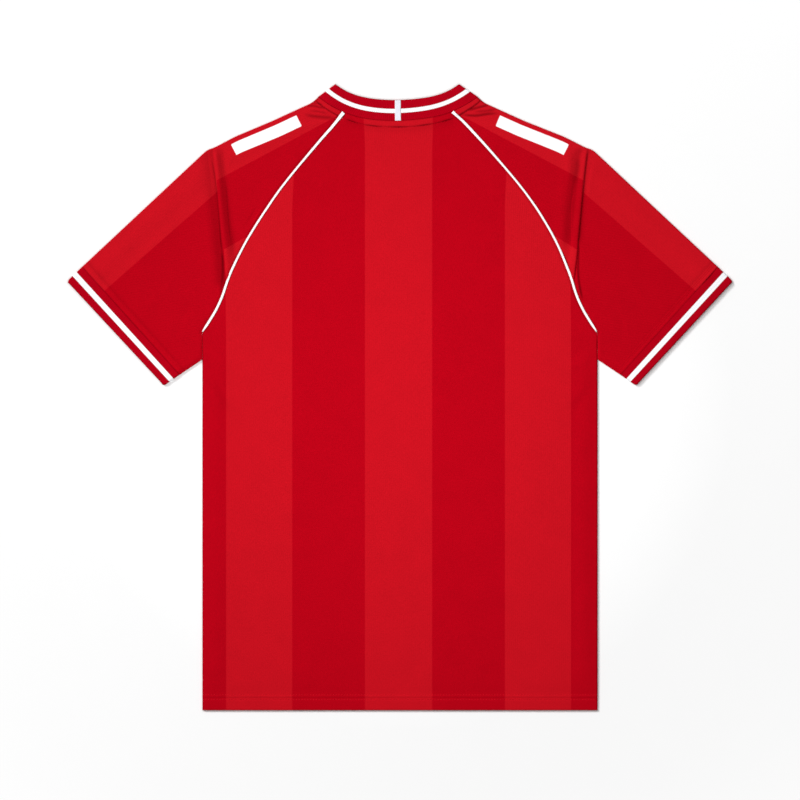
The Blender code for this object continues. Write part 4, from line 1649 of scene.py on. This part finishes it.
@dataclass
class FrontPanel(Panel):
    """The front: underneath and flat on the table, with the deeper front neck."""

    flat: Point = (0.474, 0.6235)
    area: float = 0.290
    neck_columns: int = 26
    raglan_columns: int = 40
    long_rows: int = 60

    def make(self) -> bpy.types.Object:
        """Build the front.

        Returns:
            The piece.
        """
        cut, lay = self.lay.cut, self.lay
        edge = cut.raglan_edge(-2.1, cut.front_neck)
        top = self.top_boundary(cut.front_neck, edge)
        top[:, 0] = np.minimum(top[:, 0], cut.body_half)
        halves = []
        for sign in (-1.0, 1.0):
            half, below = [], []
            for x, y_top in top:
                corner = max(0.0, x - (cut.body_half - cut.hem_corner))
                y = self.rows(y_top, cut.hem_y + corner)
                across = np.full_like(y, x)
                at_neck = x < edge.points[0, 0]
                below.append(y_top - y if at_neck else np.full_like(y, 99.0))
                z = lay.lower + lay.lower_rise(sign * across, y)
                z = z + self.grooves(below[-1], y - cut.hem_y)
                half.append(np.column_stack([across, y, z]))
            halves.append(half)
        grid = self.grid(*halves, below, False)
        piece = self.build.sheet("front", grid, lay.wall, "knit", KNIT)
        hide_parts("front_panel")
        return piece

    def stitch(self) -> bpy.types.Object:
        """Sew the hem's twin rows and the row below the collar.

        Returns:
            The piece.
        """
        cut = self.lay.cut
        rows = []
        reach = cut.body_half - 3.0
        for from_hem, length in ((self.hem_row_upper, 1.9), (self.hem_row_lower, 2.4)):
            y = cut.hem_y + from_hem
            path = Path([(-reach, y), (reach, y)])
            rows.append(
                Dashes.along(path, self.hem_pitch, self.thread_height, length=length, height=0.25)
            )
        neck = Path(cut.front_neck.points - (0.0, self.neck_row))
        edge = cut.raglan_edge(-2.1, cut.front_neck)
        stretch = neck.between(0.0, neck.nearest_run(edge.points[0] - (0.0, self.neck_row)))
        for side in Side:
            rows.append(
                Dashes.along(
                    stretch,
                    self.neck_pitch,
                    self.thread_height,
                    side.value,
                    length=1.7,
                    height=0.25,
                )
            )
        return self.build.dashes("front_stitches", rows, "knit", RED_THREAD)

    def thread_height(self, x: Array, y: Array) -> Array:
        """Height of thread on the front's outer side, which faces the table."""
        return np.full(x.shape, 0.27)


# ---- sleeves --------------------------------------------------------------------------------------------
@dataclass(frozen=True)
class Station:
    """A row of the sleeve: where it meets the fold and the inner boundary, and rows up to it.

    The inner boundary counts 0 to 1 along the raglan seam, 1 to 2 beside the body and 2 to 3
    along the underarm seam to the cuff.
    """

    on_fold: float
    place: float
    rows: int


@dataclass
class Sleeve:
    """A raglan sleeve in one piece: lower layer, shoulder fold and upper layer."""

    build: Builder
    lay: Lay
    stripes: Stripes
    side: Side
    flat: Point = (0.405, 0.372)
    area: float = 0.0758
    piping_half: float = 1.8
    fold_steps: int = 10
    upper_points: int = 104
    lower_points: int = 26
    neck_hold: float = 10.0  # rows follow the neck's curve this far, then let go
    neck_release: float = 34.0
    neck_row: float = 8.0  # stitches below the collar
    neck_pitch: float = 3.1
    cuff_allowance: float = 7.4
    cuff_rows: tuple[float, float] = (4.0, 6.2)  # twin needles beside the cuff seam
    cuff_pitch: float = 3.0
    grain_line: Point = (0.81, -0.58)  # the knit's own direction along the sleeve

    @cached_property
    def shares(self) -> tuple[Array, Array]:
        """Places of the points on the upper and the lower layer, close together at the ends."""
        near = np.array([0.0, 0.004, 0.009, 0.016, 0.025])
        upper = np.concatenate([near, np.linspace(0.035, 1.0, self.upper_points - len(near))])
        return upper, np.linspace(0.0, 1.0, self.lower_points)

    @cached_property
    def stations(self) -> list[tuple[float, float]]:
        """Each row's distance on the fold and place on the inner boundary."""
        cut = self.lay.cut
        fold, raglan = cut.fold, cut.raglan
        crest = self.lay.creases[0].path.points
        head = fold.run[np.argmin(np.abs(fold.points[:, 0] - crest[-1, 0]))]
        foot = raglan.run[np.argmin(np.abs(raglan.points[:, 1] - crest[0, 1]))] / raglan.length
        table = (
            Station(0.0, 0.0, 0),
            Station(9.8, 9.0 / raglan.length, 12),
            Station(46.0, 9.0 / raglan.length + 0.32 * (foot - 0.055), 40),
            Station(head - 18.0, foot - 0.055, 28),
            Station(head, foot, 28),
            Station(head + 12.0, foot + 0.04, 18),
            Station(head + 112.0, 1.0, 24),
            Station(head + 158.0, 2.0, 12),
            Station(fold.length - 9.0, 2.74, 10),
            Station(fold.length, 3.0, 16),
        )
        rows = [(0.0, 0.0)]
        for before, here in zip(table, table[1:]):
            for share in np.linspace(0.0, 1.0, here.rows + 1)[1:]:
                on_fold = before.on_fold + share * (here.on_fold - before.on_fold)
                rows.append((on_fold, before.place + share * (here.place - before.place)))
        return rows

    def inner_point(self, raglan: Path, place: float) -> Array:
        """The point at a place on the sleeve's inner boundary."""
        if place <= 1.0:
            return raglan.at(place * raglan.length)[0]
        tuck = np.array(self.lay.cut.out_of_tuck) - (0.2, 0.0)
        cuff = np.array(self.lay.cut.cuff_seam[1])
        underarm = np.array([tuck[0], raglan.points[-1, 1]])
        start, end = (underarm, tuck) if place <= 2.0 else (tuck, cuff)
        share = place - 1.0 if place <= 2.0 else place - 2.0
        return start + share * (end - start)

    def row(self, upper: Path, lower: Path) -> tuple[Array, Array]:
        """Points along the lower layer, round the fold and back along the upper layer.

        Args:
            upper: the upper layer's path to the fold.
            lower: the lower layer's path to the fold.

        Returns:
            The points, and 1 for each that is on the upper layer.
        """
        return folded_row(self.lay, (upper, lower), self.shares, self.side.value, self.fold_steps)

    def neck_path(self, start: Array, back: bool) -> Path:
        """The sleeve's end at the collar, on one layer: from the raglan seam to the fold."""
        cut = self.lay.cut
        line = cut.collar_line(back, -cut.seam_gap / cut.collar_width)
        return line.between(line.nearest_run(start), line.length)

    def rows_of_points(self) -> tuple[Array, Array]:
        """All rows of the sleeve in plan and height.

        Returns:
            Points in rows by columns, and which of them are on the upper layer.
        """
        cut, lay, sign = self.lay.cut, self.lay, self.side.value
        crease = lay.creases[0 if self.side is Side.LEFT else 1]
        upper_edge = cut.raglan_edge(cut.seam_gap / 2, cut.back_neck)
        lower_edge = cut.raglan_edge(self.piping_half + cut.seam_gap, cut.front_neck)
        plans = []
        for on_fold, place in self.stations:
            fold_point = cut.fold.at(on_fold)[0]
            upper = Path([self.inner_point(upper_edge, place), fold_point])
            lower = Path([self.inner_point(lower_edge, place), fold_point])
            plans.append(self.row(upper, lower))
        curved, _ = self.row(
            self.neck_path(upper_edge.points[0], True), self.neck_path(lower_edge.points[0], False)
        )
        straight = plans[0][0]
        rows = []
        for (on_fold, place), (row, is_upper) in zip(self.stations, plans):
            held = 1.0 - ease((on_fold - self.neck_hold) / self.neck_release)
            row = row + (curved - straight) * held
            top = is_upper > 0.5
            x, y = sign * row[top, 0], row[top, 1]
            z = lay.upper_rise(x, y)
            from_inner = np.linalg.norm(row[top, :2] - row[-1, :2], axis=1)
            z = z + crease.rise(x, y) * ease(from_inner / crease.clear)
            z = z + self.pressed_seams(x, y)
            beside = ease((cut.underarm_y - row[-1, 1]) / lay.side_ramp)
            tucked = swell(from_inner, 5.0)
            z = z - beside * tucked * (z - (lay.lower + lay.wall + cut.seam_gap))
            shift = z - row[top, 2]
            arc = (row[:, 2] - row[0, 2]) / max(row[top, 2][0] - row[0, 2], 1e-6)
            row[:, 2] += np.clip(arc, 0.0, 1.0) * shift[0] * (~top)
            row[top, 2] = z
            low = np.nonzero(~top)[0][: self.lower_points]
            row[low, 2] += lay.lower_rise(sign * row[low, 0], row[low, 1])
            rows.append(row)
        return np.array(rows), np.array([is_upper for _, is_upper in plans])

    def from_seams(self, x: Array, y: Array) -> tuple[Array, Array]:
        """Distances below the collar's back seam and from the cuff's seam.

        Args:
            x: across the body.
            y: towards the neck.

        Returns:
            The two distances at each point.
        """
        cut = self.lay.cut
        neck_y = np.interp(np.abs(x), cut.back_neck.points[:, 0], cut.back_neck.points[:, 1])
        past = np.maximum(0.0, np.abs(x) - cut.back_neck.points[-1, 0])
        seam = np.array(cut.cuff_seam)
        along = (seam[1] - seam[0]) / np.linalg.norm(seam[1] - seam[0])
        from_cuff = np.abs(along[0] * (y - seam[0, 1]) - along[1] * (np.abs(x) - seam[0, 0]))
        return neck_y - y + past, from_cuff

    def pressed_seams(self, x: Array, y: Array) -> Array:
        """Height of the seam allowances at the collar and the cuff, with their grooves."""
        lay = self.lay
        below, from_cuff = self.from_seams(x, y)
        cuff = 0.5 * (1.0 - ease((from_cuff - self.cuff_allowance) / 1.2))
        return lay.pressed(below) + cuff - lay.groove * self.sewn(below, from_cuff)

    def sewn(self, below: Array, from_cuff: Array) -> Array:
        """How far rows of stitches pull the cloth in, 0 to 1.

        Args:
            below: distance below the collar's seam.
            from_cuff: distance from the cuff's seam.

        Returns:
            The share at each point.
        """
        pulled = 1.6 * swell(below - self.neck_row + 0.4, self.lay.groove_width)
        for from_seam in self.cuff_rows:
            pulled = pulled + 0.7 * swell(from_cuff - from_seam, 0.9)
        return pulled + 0.5 * swell(from_cuff - self.cuff_allowance - 0.6, 0.8)

    def make(self) -> bpy.types.Object:
        """Build the sleeve.

        Returns:
            The piece.
        """
        cut, sign = self.lay.cut, self.side.value
        rows, is_upper = self.rows_of_points()
        points = rows.transpose(1, 0, 2)
        upper = is_upper.transpose() > 0.5
        x, y = points[..., 0], points[..., 1]
        away, along = cut.fold.measure(x, y)
        from_fold = np.abs(away)
        crest = self.lay.creases[0].offset(x, y)
        light = self.stripes.on_sleeve(x, y, crest, from_fold, upper)
        bands = {
            "light_band": light,
            "white_band": self.stripes.on_shoulder(along, from_fold),
            "shade": self.shade(x, y, from_fold, upper),
        }
        grain = np.array(self.grain_line) / np.linalg.norm(self.grain_line)
        uv = np.stack([np.where(upper, from_fold, -from_fold), x * grain[0] + y * grain[1]], axis=-1)
        grid = Grid(mirrored(points, sign), uv, bands)
        piece = self.build.sheet(f"sleeve_cloth_{self.side.word}", grid, self.lay.wall, "knit", KNIT)
        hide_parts(f"sleeve_{self.side.word}")
        return piece

    def shade(self, x: Array, y: Array, from_fold: Array, upper: Array) -> Array:
        """Painted shade of the sewn lines, the folds and the fold's edge, 0 to 1.

        Args:
            x: across the body, without its sign.
            y: towards the neck.
            from_fold: distance from the shoulder fold.
            upper: True on the upper layer.

        Returns:
            The shade at each point.
        """
        below, from_cuff = self.from_seams(x, y)
        # painted shade along the collar's stitched row and its seam
        collar = 0.9 * swell(below - self.neck_row + 0.4, 2.1) + 0.4 * swell(below, 1.5)
        # painted shade at the cuff's seam, its stitches and its allowance's edge; painted highlight on the
        # allowance
        cuff = 0.18 * np.minimum(1.0, self.sewn(np.full_like(x, 99.0), from_cuff))
        cuff = cuff + 0.42 * swell(from_cuff, 1.8) - 0.1 * swell(from_cuff - 3.6, 3.4)
        near_fold = 1.0 - 0.5 * ease(from_fold / 70.0)
        cuff = cuff + 0.24 * near_fold * swell(from_cuff - self.cuff_allowance - 1.0, 2.0)
        # painted shade along the fold's edge, deepest near the collar
        near_neck = 1.0 - ease((below - 8.0) / 14.0)
        edge = (0.1 + 0.55 * near_neck) * swell(from_fold, 2.0 + 1.6 * near_neck)
        crease = self.lay.creases[0 if self.side is Side.LEFT else 1]
        # the painted shade of the seams and the fold's edge, with that of the troughs and the roll
        sewn = np.maximum(collar, edge) + cuff
        shade = sewn + self.lay.shade(self.side.value * x, y) + crease.shade(x, y)
        return np.where(upper, np.clip(shade, -0.4, 1.1), np.maximum(cuff, edge))

    def stitch(self) -> bpy.types.Object:
        """Sew the row below the collar and the twin rows beside the cuff.

        Returns:
            The piece.
        """
        cut, sign = self.lay.cut, self.side.value
        neck = Path(cut.back_neck.points - (0.0, self.neck_row))
        start = neck.nearest_run(np.array([77.3, 340.0]))
        rows = [
            Dashes.along(
                neck.between(start, neck.length - 2.0),
                self.neck_pitch,
                self.thread_height,
                sign,
                length=1.7,
            )
        ]
        seam = np.array(cut.cuff_seam)
        along = (seam[1] - seam[0]) / np.linalg.norm(seam[1] - seam[0])
        inward = np.array([along[1], -along[0]])
        for from_seam in self.cuff_rows:
            line = seam + inward * from_seam
            path = Path([line[0] + along * 4.0, line[1] - along * 5.0])
            rows.append(
                Dashes.along(
                    path, self.cuff_pitch, self.thread_height, sign, length=1.9, width=0.6
                )
            )
        return self.build.dashes(f"sleeve_stitches_{self.side.word}", rows, "knit", CLOTH_THREAD)

    def thread_height(self, x: Array, y: Array) -> Array:
        """Height at which thread lies in its groove."""
        return self.lay.upper_rise(x, y) + self.lay.wall / 2 + 0.05


def folded_row(
    lay: Lay, paths: tuple[Path, Path], shares: tuple[Array, Array], sign: int, steps: int
) -> tuple[Array, Array]:
    """A row in along the lower path, round the fold and back out along the upper one.

    Args:
        lay: the heights.
        paths: the upper and the lower path, which both run to the fold.
        shares: places on each, from 0 at its start to 1 where the fold begins.
        sign: side of the body, for the upper layer's height.
        steps: facets round the fold.

    Returns:
        The points, and 1 for each that is on the upper layer.
    """
    upper, lower = paths
    height = float(lay.upper_rise(sign * upper.points[-1:, 0], upper.points[-1:, 1])[0])
    radius = (height - lay.lower) / 2
    upper_stop, lower_stop = (path.length - radius - lay.wall / 2 for path in paths)
    top = upper.at(shares[0] * upper_stop)
    low = lower.at(shares[1] * lower_stop)
    out_top, out_low = upper.direction(upper_stop)[0], lower.direction(lower_stop)[0]
    fold = []
    for turn in np.linspace(-math.pi / 2, math.pi / 2, steps + 1)[1:-1]:
        share = (1.0 + math.sin(turn)) / 2
        out = out_low + share * (out_top - out_low)
        plan = low[-1] + share * (top[-1] - low[-1])
        plan = plan + out / np.linalg.norm(out) * radius * math.cos(turn)
        fold.append((*plan, lay.lower + share * (height - lay.lower)))
    lower_row = np.column_stack([low, np.full(len(low), lay.lower)])
    upper_row = np.column_stack([top, np.full(len(top), height)])[::-1]
    row = np.vstack([lower_row, fold, upper_row])
    is_upper = np.zeros(len(row))
    is_upper[-len(upper_row) :] = 1.0
    return row, is_upper


# ---- rib bands --------------------------------------------------------------------------------------------
@dataclass
class Collar:
    """The doubled rib collar folded flat: back half above, front half below."""

    build: Builder
    lay: Lay
    flat: Point = (0.4735, 0.0246)
    steps_out: int = 36
    back_points: int = 64
    front_points: int = 56
    fold_steps: int = 10
    white_line: tuple[float, float] = (9.1, 14.0)  # from the seam, at the middle
    white_line_tip: tuple[float, float] = (10.3, 15.2)  # the same where the band folds
    edge_round: float = 0.5
    edge_round_width: float = 2.0

    def make(self) -> bpy.types.Object:
        """Build the collar.

        Returns:
            The piece.
        """
        cut, lay = self.lay.cut, self.lay
        width = cut.collar_width
        shares = (
            np.linspace(0.0, 1.0, self.back_points),
            np.linspace(0.0, 1.0, self.front_points),
        )
        rings, along = [], []
        first = -cut.seam_gap / width
        across = first + (1.0 - first) * np.linspace(0.0, 1.0, self.steps_out) ** 0.9
        for share in across:
            paths = (cut.collar_line(True, share), cut.collar_line(False, share))
            halves = []
            for sign in (1, -1):
                half, is_upper = folded_row(lay, paths, shares, sign, self.fold_steps)
                top = is_upper > 0.5
                z = lay.upper_rise(sign * half[top, 0], half[top, 1]) + lay.rib_upper - lay.upper
                scale = (z[0] - lay.rib_lower) / (half[top, 2][0] - lay.lower)
                half[~top, 2] = lay.rib_lower + (half[~top, 2] - lay.lower) * scale
                half[top, 2] = z
                rounding = self.edge_round * swell((1.0 - share) * width, self.edge_round_width)
                half[top, 2] -= rounding
                halves.append(half)
            right, left = halves
            ring = np.vstack([right, mirrored(left[-2::-1], -1)])
            rings.append(ring)
            steps = np.linalg.norm(np.diff(ring[:, :2], axis=0), axis=1)
            along.append(np.concatenate([[0.0], np.cumsum(steps)]))
        points = np.array(rings).transpose(1, 0, 2)
        run = np.mean(along, axis=0)
        columns = len(run)
        out = np.broadcast_to(across * width, (columns, len(across)))
        tip = np.clip(np.abs(points[:, -1, 0]) / cut.back_edge[-1][0], 0.0, 1.0) ** 2
        low = self.white_line[0] + tip * (self.white_line_tip[0] - self.white_line[0])
        high = self.white_line[1] + tip * (self.white_line_tip[1] - self.white_line[1])
        middle, half = (low + high)[:, None] / 2, (high - low)[:, None] / 2
        bands = {
            "white_band": half - np.abs(out - middle),
            "white_middle": 0.35 - np.abs(out - middle),
            "beside_white": half + 1.0 - np.abs(out - middle),
            "from_edge": np.minimum(out, width - out),
        }
        uv = np.stack([np.broadcast_to(run[:, None], out.shape), out], axis=-1)
        grid = Grid(points, uv, bands, closed=True)
        piece = self.build.sheet("collar_rib", grid, lay.rib_wall, "rib", RIB)
        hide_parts("collar")
        return piece


@dataclass
class Cuff:
    """A doubled rib cuff folded flat round the end of a sleeve."""

    build: Builder
    lay: Lay
    side: Side
    flat: Point = (0.344, 0.0247)
    steps_out: int = 36
    along_points: int = 40
    fold_steps: int = 10
    corner: float = 3.5
    corner_inset: float = 1.8
    white_line: tuple[float, float] = (9.3, 16.0)
    edge_round: float = 0.5
    edge_round_width: float = 2.0

    def ends(self, across: float) -> tuple[Array, Array, Array]:
        """The band's fold points and the direction between them.

        Args:
            across: share of the way from the seam to the edge.

        Returns:
            The upper end, the lower end and the direction.
        """
        seam, outer = np.array(self.lay.cut.cuff_seam), np.array(self.lay.cut.cuff_outer)
        width = np.linalg.norm(outer[0] - seam[0])
        past = max(0.0, across * width - (width - self.corner)) / self.corner
        inset = self.corner_inset * past**2
        upper, lower = seam + across * (outer - seam)
        along = (lower - upper) / np.linalg.norm(lower - upper)
        return upper + along * inset, lower - along * inset, along

    def make(self) -> bpy.types.Object:
        """Build the cuff.

        Returns:
            The piece.
        """
        lay = self.lay
        seam, outer = np.array(lay.cut.cuff_seam), np.array(lay.cut.cuff_outer)
        width = float(np.linalg.norm(outer[0] - seam[0]))
        radius = (lay.rib_upper - lay.rib_lower) / 2
        inset = radius + lay.rib_wall / 2
        turns = np.linspace(-math.pi / 2, math.pi / 2, self.fold_steps + 1)
        between = np.linspace(0.0, 1.0, self.along_points + 2)[1:-1]
        first = -lay.cut.seam_gap / width
        across = first + (1.0 - first) * np.linspace(0.0, 1.0, self.steps_out)
        rings, runs = [], []
        for share in across:
            upper, lower, along = self.ends(share)
            upper, lower = upper + along * inset, lower - along * inset
            drop = self.edge_round * float(swell((1.0 - share) * width, self.edge_round_width))
            top, bottom = lay.rib_upper - drop, lay.rib_lower
            middle, rise = (top + bottom) / 2, (top - bottom) / 2
            ring = [(*(upper - along * radius * math.cos(a)), middle + rise * math.sin(a)) for a in turns]
            ring += [(*(upper + t * (lower - upper)), top + self.ease_wave(t, share)) for t in between]
            ring += [(*(lower + along * radius * math.cos(a)), middle - rise * math.sin(a)) for a in turns]
            ring += [(*(lower + t * (upper - lower)), bottom) for t in between]
            ring.append(ring[0])
            rings.append(ring)
            steps = np.linalg.norm(np.diff(np.array(ring), axis=0), axis=1)
            runs.append(np.concatenate([[0.0], np.cumsum(steps)]))
        points = np.array(rings).transpose(1, 0, 2)
        run = np.mean(runs, axis=0)
        out = np.broadcast_to(across * width, (len(run), len(across)))
        low, high = self.white_line
        bands = {
            "white_band": (high - low) / 2 - np.abs(out - (low + high) / 2),
            "white_middle": 0.35 - np.abs(out - (low + high) / 2),
            "beside_white": (high - low) / 2 + 1.0 - np.abs(out - (low + high) / 2),
            "from_edge": np.minimum(out, width - out),
        }
        uv = np.stack([np.broadcast_to(run[:, None], out.shape), out], axis=-1)
        grid = Grid(mirrored(points, self.side.value), uv, bands, closed=True)
        piece = self.build.sheet(f"cuff_rib_{self.side.word}", grid, lay.rib_wall, "rib", RIB)
        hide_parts(f"cuff_{self.side.word}")
        return piece

    def ease_wave(self, along: float, across: float) -> float:
        """Small unevenness of the band's upper layer."""
        phase = 1.7 if self.side is Side.LEFT else 0.4
        return 0.14 * math.sin(9.0 * along + phase) * math.sin(math.pi * along) * across


# ---- trims ------------------------------------------------------------------------------------------------
@dataclass
class Piping:
    """Piping in a raglan seam: a low white bead between the flanges that are sewn in."""

    build: Builder
    lay: Lay
    side: Side
    on_back: bool
    width: float = 2.5
    widths: tuple[Point, ...] = (
        (0.0, 4.2),
        (5.0, 3.7),
        (13.0, 3.2),
        (40.0, 2.9),
        (90.0, 2.3),
        (200.0, 2.35),
        (240.0, 2.7),
    )
    flange: float = 0.8
    bead: float = 0.95
    flat_height: float = 0.8
    steps: int = 170
    back_ends: Point = (0.2, 1.2)
    front_ends: Point = (0.3, 1.0)
    tack_place: float = 6.0

    def make(self) -> bpy.types.Object:
        """Build the piping.

        Returns:
            The piece.
        """
        cut, lay, sign = self.lay.cut, self.lay, self.side.value
        neck = cut.back_neck if self.on_back else cut.front_neck
        start, end = self.back_ends if self.on_back else self.front_ends
        path = cut.raglan_edge(0.0, neck)
        path = path.between(start, path.length - end)
        run = np.linspace(0.0, path.length, self.steps)
        plan, direction = path.at(run), path.direction(run)
        normal = np.column_stack([-direction[:, 1], direction[:, 0]])
        half = np.interp(run, *np.array(self.widths).T) / 2
        half = half * (1.0 - 0.45 * ease((run - (path.length - 9.0)) / 9.0))
        if self.on_back:
            neck_y = np.interp(plan[:, 0], neck.points[:, 0], neck.points[:, 1])
            base = lay.upper_rise(sign * plan[:, 0], plan[:, 1]) + lay.pressed(neck_y - plan[:, 1])
            base = base + lay.wall / 2 - 0.3
            height = self.bead
        else:
            base = np.full_like(run, 0.05)
            height = self.flat_height
        ring, inside = [], []
        for side, out, up in self.section():
            reach = half + out
            plan_here = plan + normal * (side * reach)[:, None]
            ring.append(np.column_stack([plan_here, base + up * height]))
            inside.append(half - np.abs(side) * reach)
        points = np.array(ring)
        around = [side * (self.width / 2 + out) for side, out, _ in self.section()]
        uv = np.stack(np.meshgrid(around, run, indexing="ij"), axis=-1)
        layer = "back" if self.on_back else "front"
        name = f"piping_cord_{layer}_{self.side.word}"
        grid = Grid(mirrored(points, sign), uv, {"white_band": np.array(inside)}, closed=True)
        piece = self.build.sheet(name, grid, 0.0, "trim", PIPING_TAPE)
        self.close_ends(piece.data)
        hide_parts(f"piping_{layer}_{self.side.word}")
        return piece

    def section(self) -> tuple[tuple[float, float, float], ...]:
        """Points round the bead and its flanges.

        Returns:
            For each, the side, how far outside the white width and the share of the height.
        """
        flange = self.flange
        rise = ((1.0, flange, 0.0), (1.0, 0.25, 0.3), (1.0, -0.02, 0.86), (1.0, -0.4, 0.98))
        top = ((0.5, 0.0, 1.0), (0.0, 0.0, 1.03), (-0.5, 0.0, 1.0))
        fall = tuple((-side, out, up) for side, out, up in reversed(rise))
        return (*rise, *top, *fall, (0.0, 0.0, 0.0), rise[0])

    def tack(self) -> bpy.types.Object:
        """Sew the short bar tack across the piping's upper end.

        Returns:
            The piece.
        """
        cut, sign = self.lay.cut, self.side.value
        path = cut.raglan_edge(0.0, cut.back_neck)
        plan = path.at(self.tack_place) * (sign, 1.0)
        direction = path.direction(self.tack_place)[:, ::-1] * (-sign, 1.0)
        top = self.lay.upper_rise(plan[:, 0], plan[:, 1]) + self.lay.wall / 2 + self.bead
        top = top + self.lay.allowance_step - 0.4
        row = Dashes(np.column_stack([plan, top]), direction, 1.5, 0.5, 0.2)
        return self.build.dashes(f"piping_tack_{self.side.word}", [row], "trim", TACK_THREAD)

    @staticmethod
    def close_ends(mesh: bpy.types.Mesh) -> None:
        """Fill both ends of the bead and turn its faces outwards."""
        shell = bmesh.new()
        shell.from_mesh(mesh)
        open_edges = [edge for edge in shell.edges if edge.is_boundary]
        bmesh.ops.holes_fill(shell, edges=open_edges, sides=0)
        bmesh.ops.recalc_face_normals(shell, faces=shell.faces)
        shell.to_mesh(mesh)
        shell.free()


@dataclass
class NapeTape:
    """The short woven tape that crosses the collar at the nape."""

    build: Builder
    lay: Lay
    centre: float = -0.4
    width: float = 7.0
    start_y: float = 331.9
    end_y: float = 356.4
    wall: float = 0.6

    def make(self) -> bpy.types.Object:
        """Build the tape.

        Returns:
            The piece.
        """
        across = np.linspace(-self.width / 2, self.width / 2, 13)
        along = np.linspace(self.start_y, self.end_y, 31)
        x, y = np.meshgrid(across, along, indexing="ij")
        z = self.lay.upper_rise(x + self.centre, y) + self.lay.rib_upper - self.lay.upper
        edge = np.minimum(y - self.start_y, self.end_y - y)
        z = z + self.lay.rib_wall / 2 + self.wall / 2 + 0.1 - 0.3 * swell(edge, 1.5)
        z = z - 0.15 * swell(self.width / 2 - np.abs(x), 0.9)
        points = np.stack([x + self.centre, y, z], axis=-1)
        grid = Grid(points, np.stack([x, y], axis=-1), {"white_band": np.full(x.shape, 9.0)})
        piece = self.build.sheet("neck_tape", grid, self.wall, "trim", NAPE_TAPE)
        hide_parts("nape_tape")
        return piece


# ---- studio -----------------------------------------------------------------------------------------------
@dataclass
class Studio:
    """A pale paper floor, soft light and a camera straight above."""

    floor_half: float = 4.0
    camera_height: float = 6.0
    camera_y: float = -0.003
    view_width: float = 0.96
    sensor: float = 36.0
    sky: float = 0.209
    sun_strength: float = 2.15
    sun_softness: float = 18.0  # degrees across
    sun_from: tuple[float, float, float] = (-0.76, 0.65, 0.78)
    overhead_power: float = 3.72
    overhead_size: float = 0.6
    overhead_place: tuple[float, float, float] = (-0.05, 0.07, 0.72)

    def floor(self) -> bpy.types.Object:
        """Lay the paper."""
        bpy.ops.object.select_all(action="DESELECT")
        bpy.ops.mesh.primitive_plane_add(size=2 * self.floor_half, location=(0.0, 0.0, -0.0003))
        floor = bpy.context.active_object
        floor.name = "floor"
        floor.data.materials.append(FLOOR.material())
        return floor

    def light(self) -> None:
        """Light it softly from the upper left and from overhead, under a pale sky."""
        scene = bpy.context.scene
        world = bpy.data.worlds.new("studio")
        scene.world = world
        world.use_nodes = True
        world.node_tree.nodes["Background"].inputs["Strength"].default_value = self.sky
        world.node_tree.nodes["Background"].inputs["Color"].default_value = (1.0, 1.0, 1.0, 1.0)
        sun = bpy.data.lights.new("key", "SUN")
        sun.energy, sun.angle = self.sun_strength, math.radians(self.sun_softness)
        self.aim(sun, self.sun_from, Vector((0.0, 0.0, 0.0)))
        overhead = bpy.data.lights.new("overhead", "AREA")
        overhead.energy, overhead.size = self.overhead_power, self.overhead_size
        place = Vector(self.overhead_place)
        self.aim(overhead, self.overhead_place, Vector((place.x, place.y, 0.0)))

    @staticmethod
    def aim(light: bpy.types.Light, place: tuple[float, float, float], at: Vector) -> None:
        """Hang a light in a place and turn it towards a point."""
        lamp = bpy.data.objects.new(light.name, light)
        lamp.location = place
        lamp.rotation_euler = (at - Vector(place)).to_track_quat("-Z", "Y").to_euler()
        lamp.visible_camera = False
        bpy.context.scene.collection.objects.link(lamp)

    def camera(self) -> None:
        """Set the camera above the jersey, with a long lens."""
        data = bpy.data.cameras.new("camera")
        data.sensor_width = self.sensor
        data.lens = self.sensor * self.camera_height / self.view_width
        data.clip_end = 50.0
        camera = bpy.data.objects.new("camera", data)
        camera.location = (0.0, self.camera_y, self.camera_height)
        bpy.context.scene.collection.objects.link(camera)
        bpy.context.scene.camera = camera
        bpy.context.scene.view_settings.view_transform = "Standard"


def report(piece: bpy.types.Object) -> None:
    """Log a piece and how many faces it has before its wall."""
    LOG.info("%s: %d faces", piece.name, len(piece.data.polygons))


def main() -> None:
    """Build the jersey, dress it and set the studio round it."""
    logging.basicConfig(level=logging.INFO, format="%(message)s")
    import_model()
    lay, stripes = Lay(), Stripes()
    build = Builder(lay.cut)
    studio = Studio()
    studio.floor()
    front = FrontPanel(build, lay, stripes)
    back = BackPanel(build, lay, stripes)
    for panel in (front, back):
        report(panel.make())
        report(panel.stitch())
    report(back.stitch_neck())
    report(Collar(build, lay).make())
    report(NapeTape(build, lay).make())
    for side in Side:
        sleeve = Sleeve(build, lay, stripes, side)
        report(sleeve.make())
        report(sleeve.stitch())
        report(Cuff(build, lay, side).make())
        for on_back in (True, False):
            piping = Piping(build, lay, side, on_back)
            report(piping.make())
            if on_back:
                report(piping.tack())
    studio.light()
    studio.camera()
    bpy.context.view_layer.update()


if __name__ == "__main__":
    main()
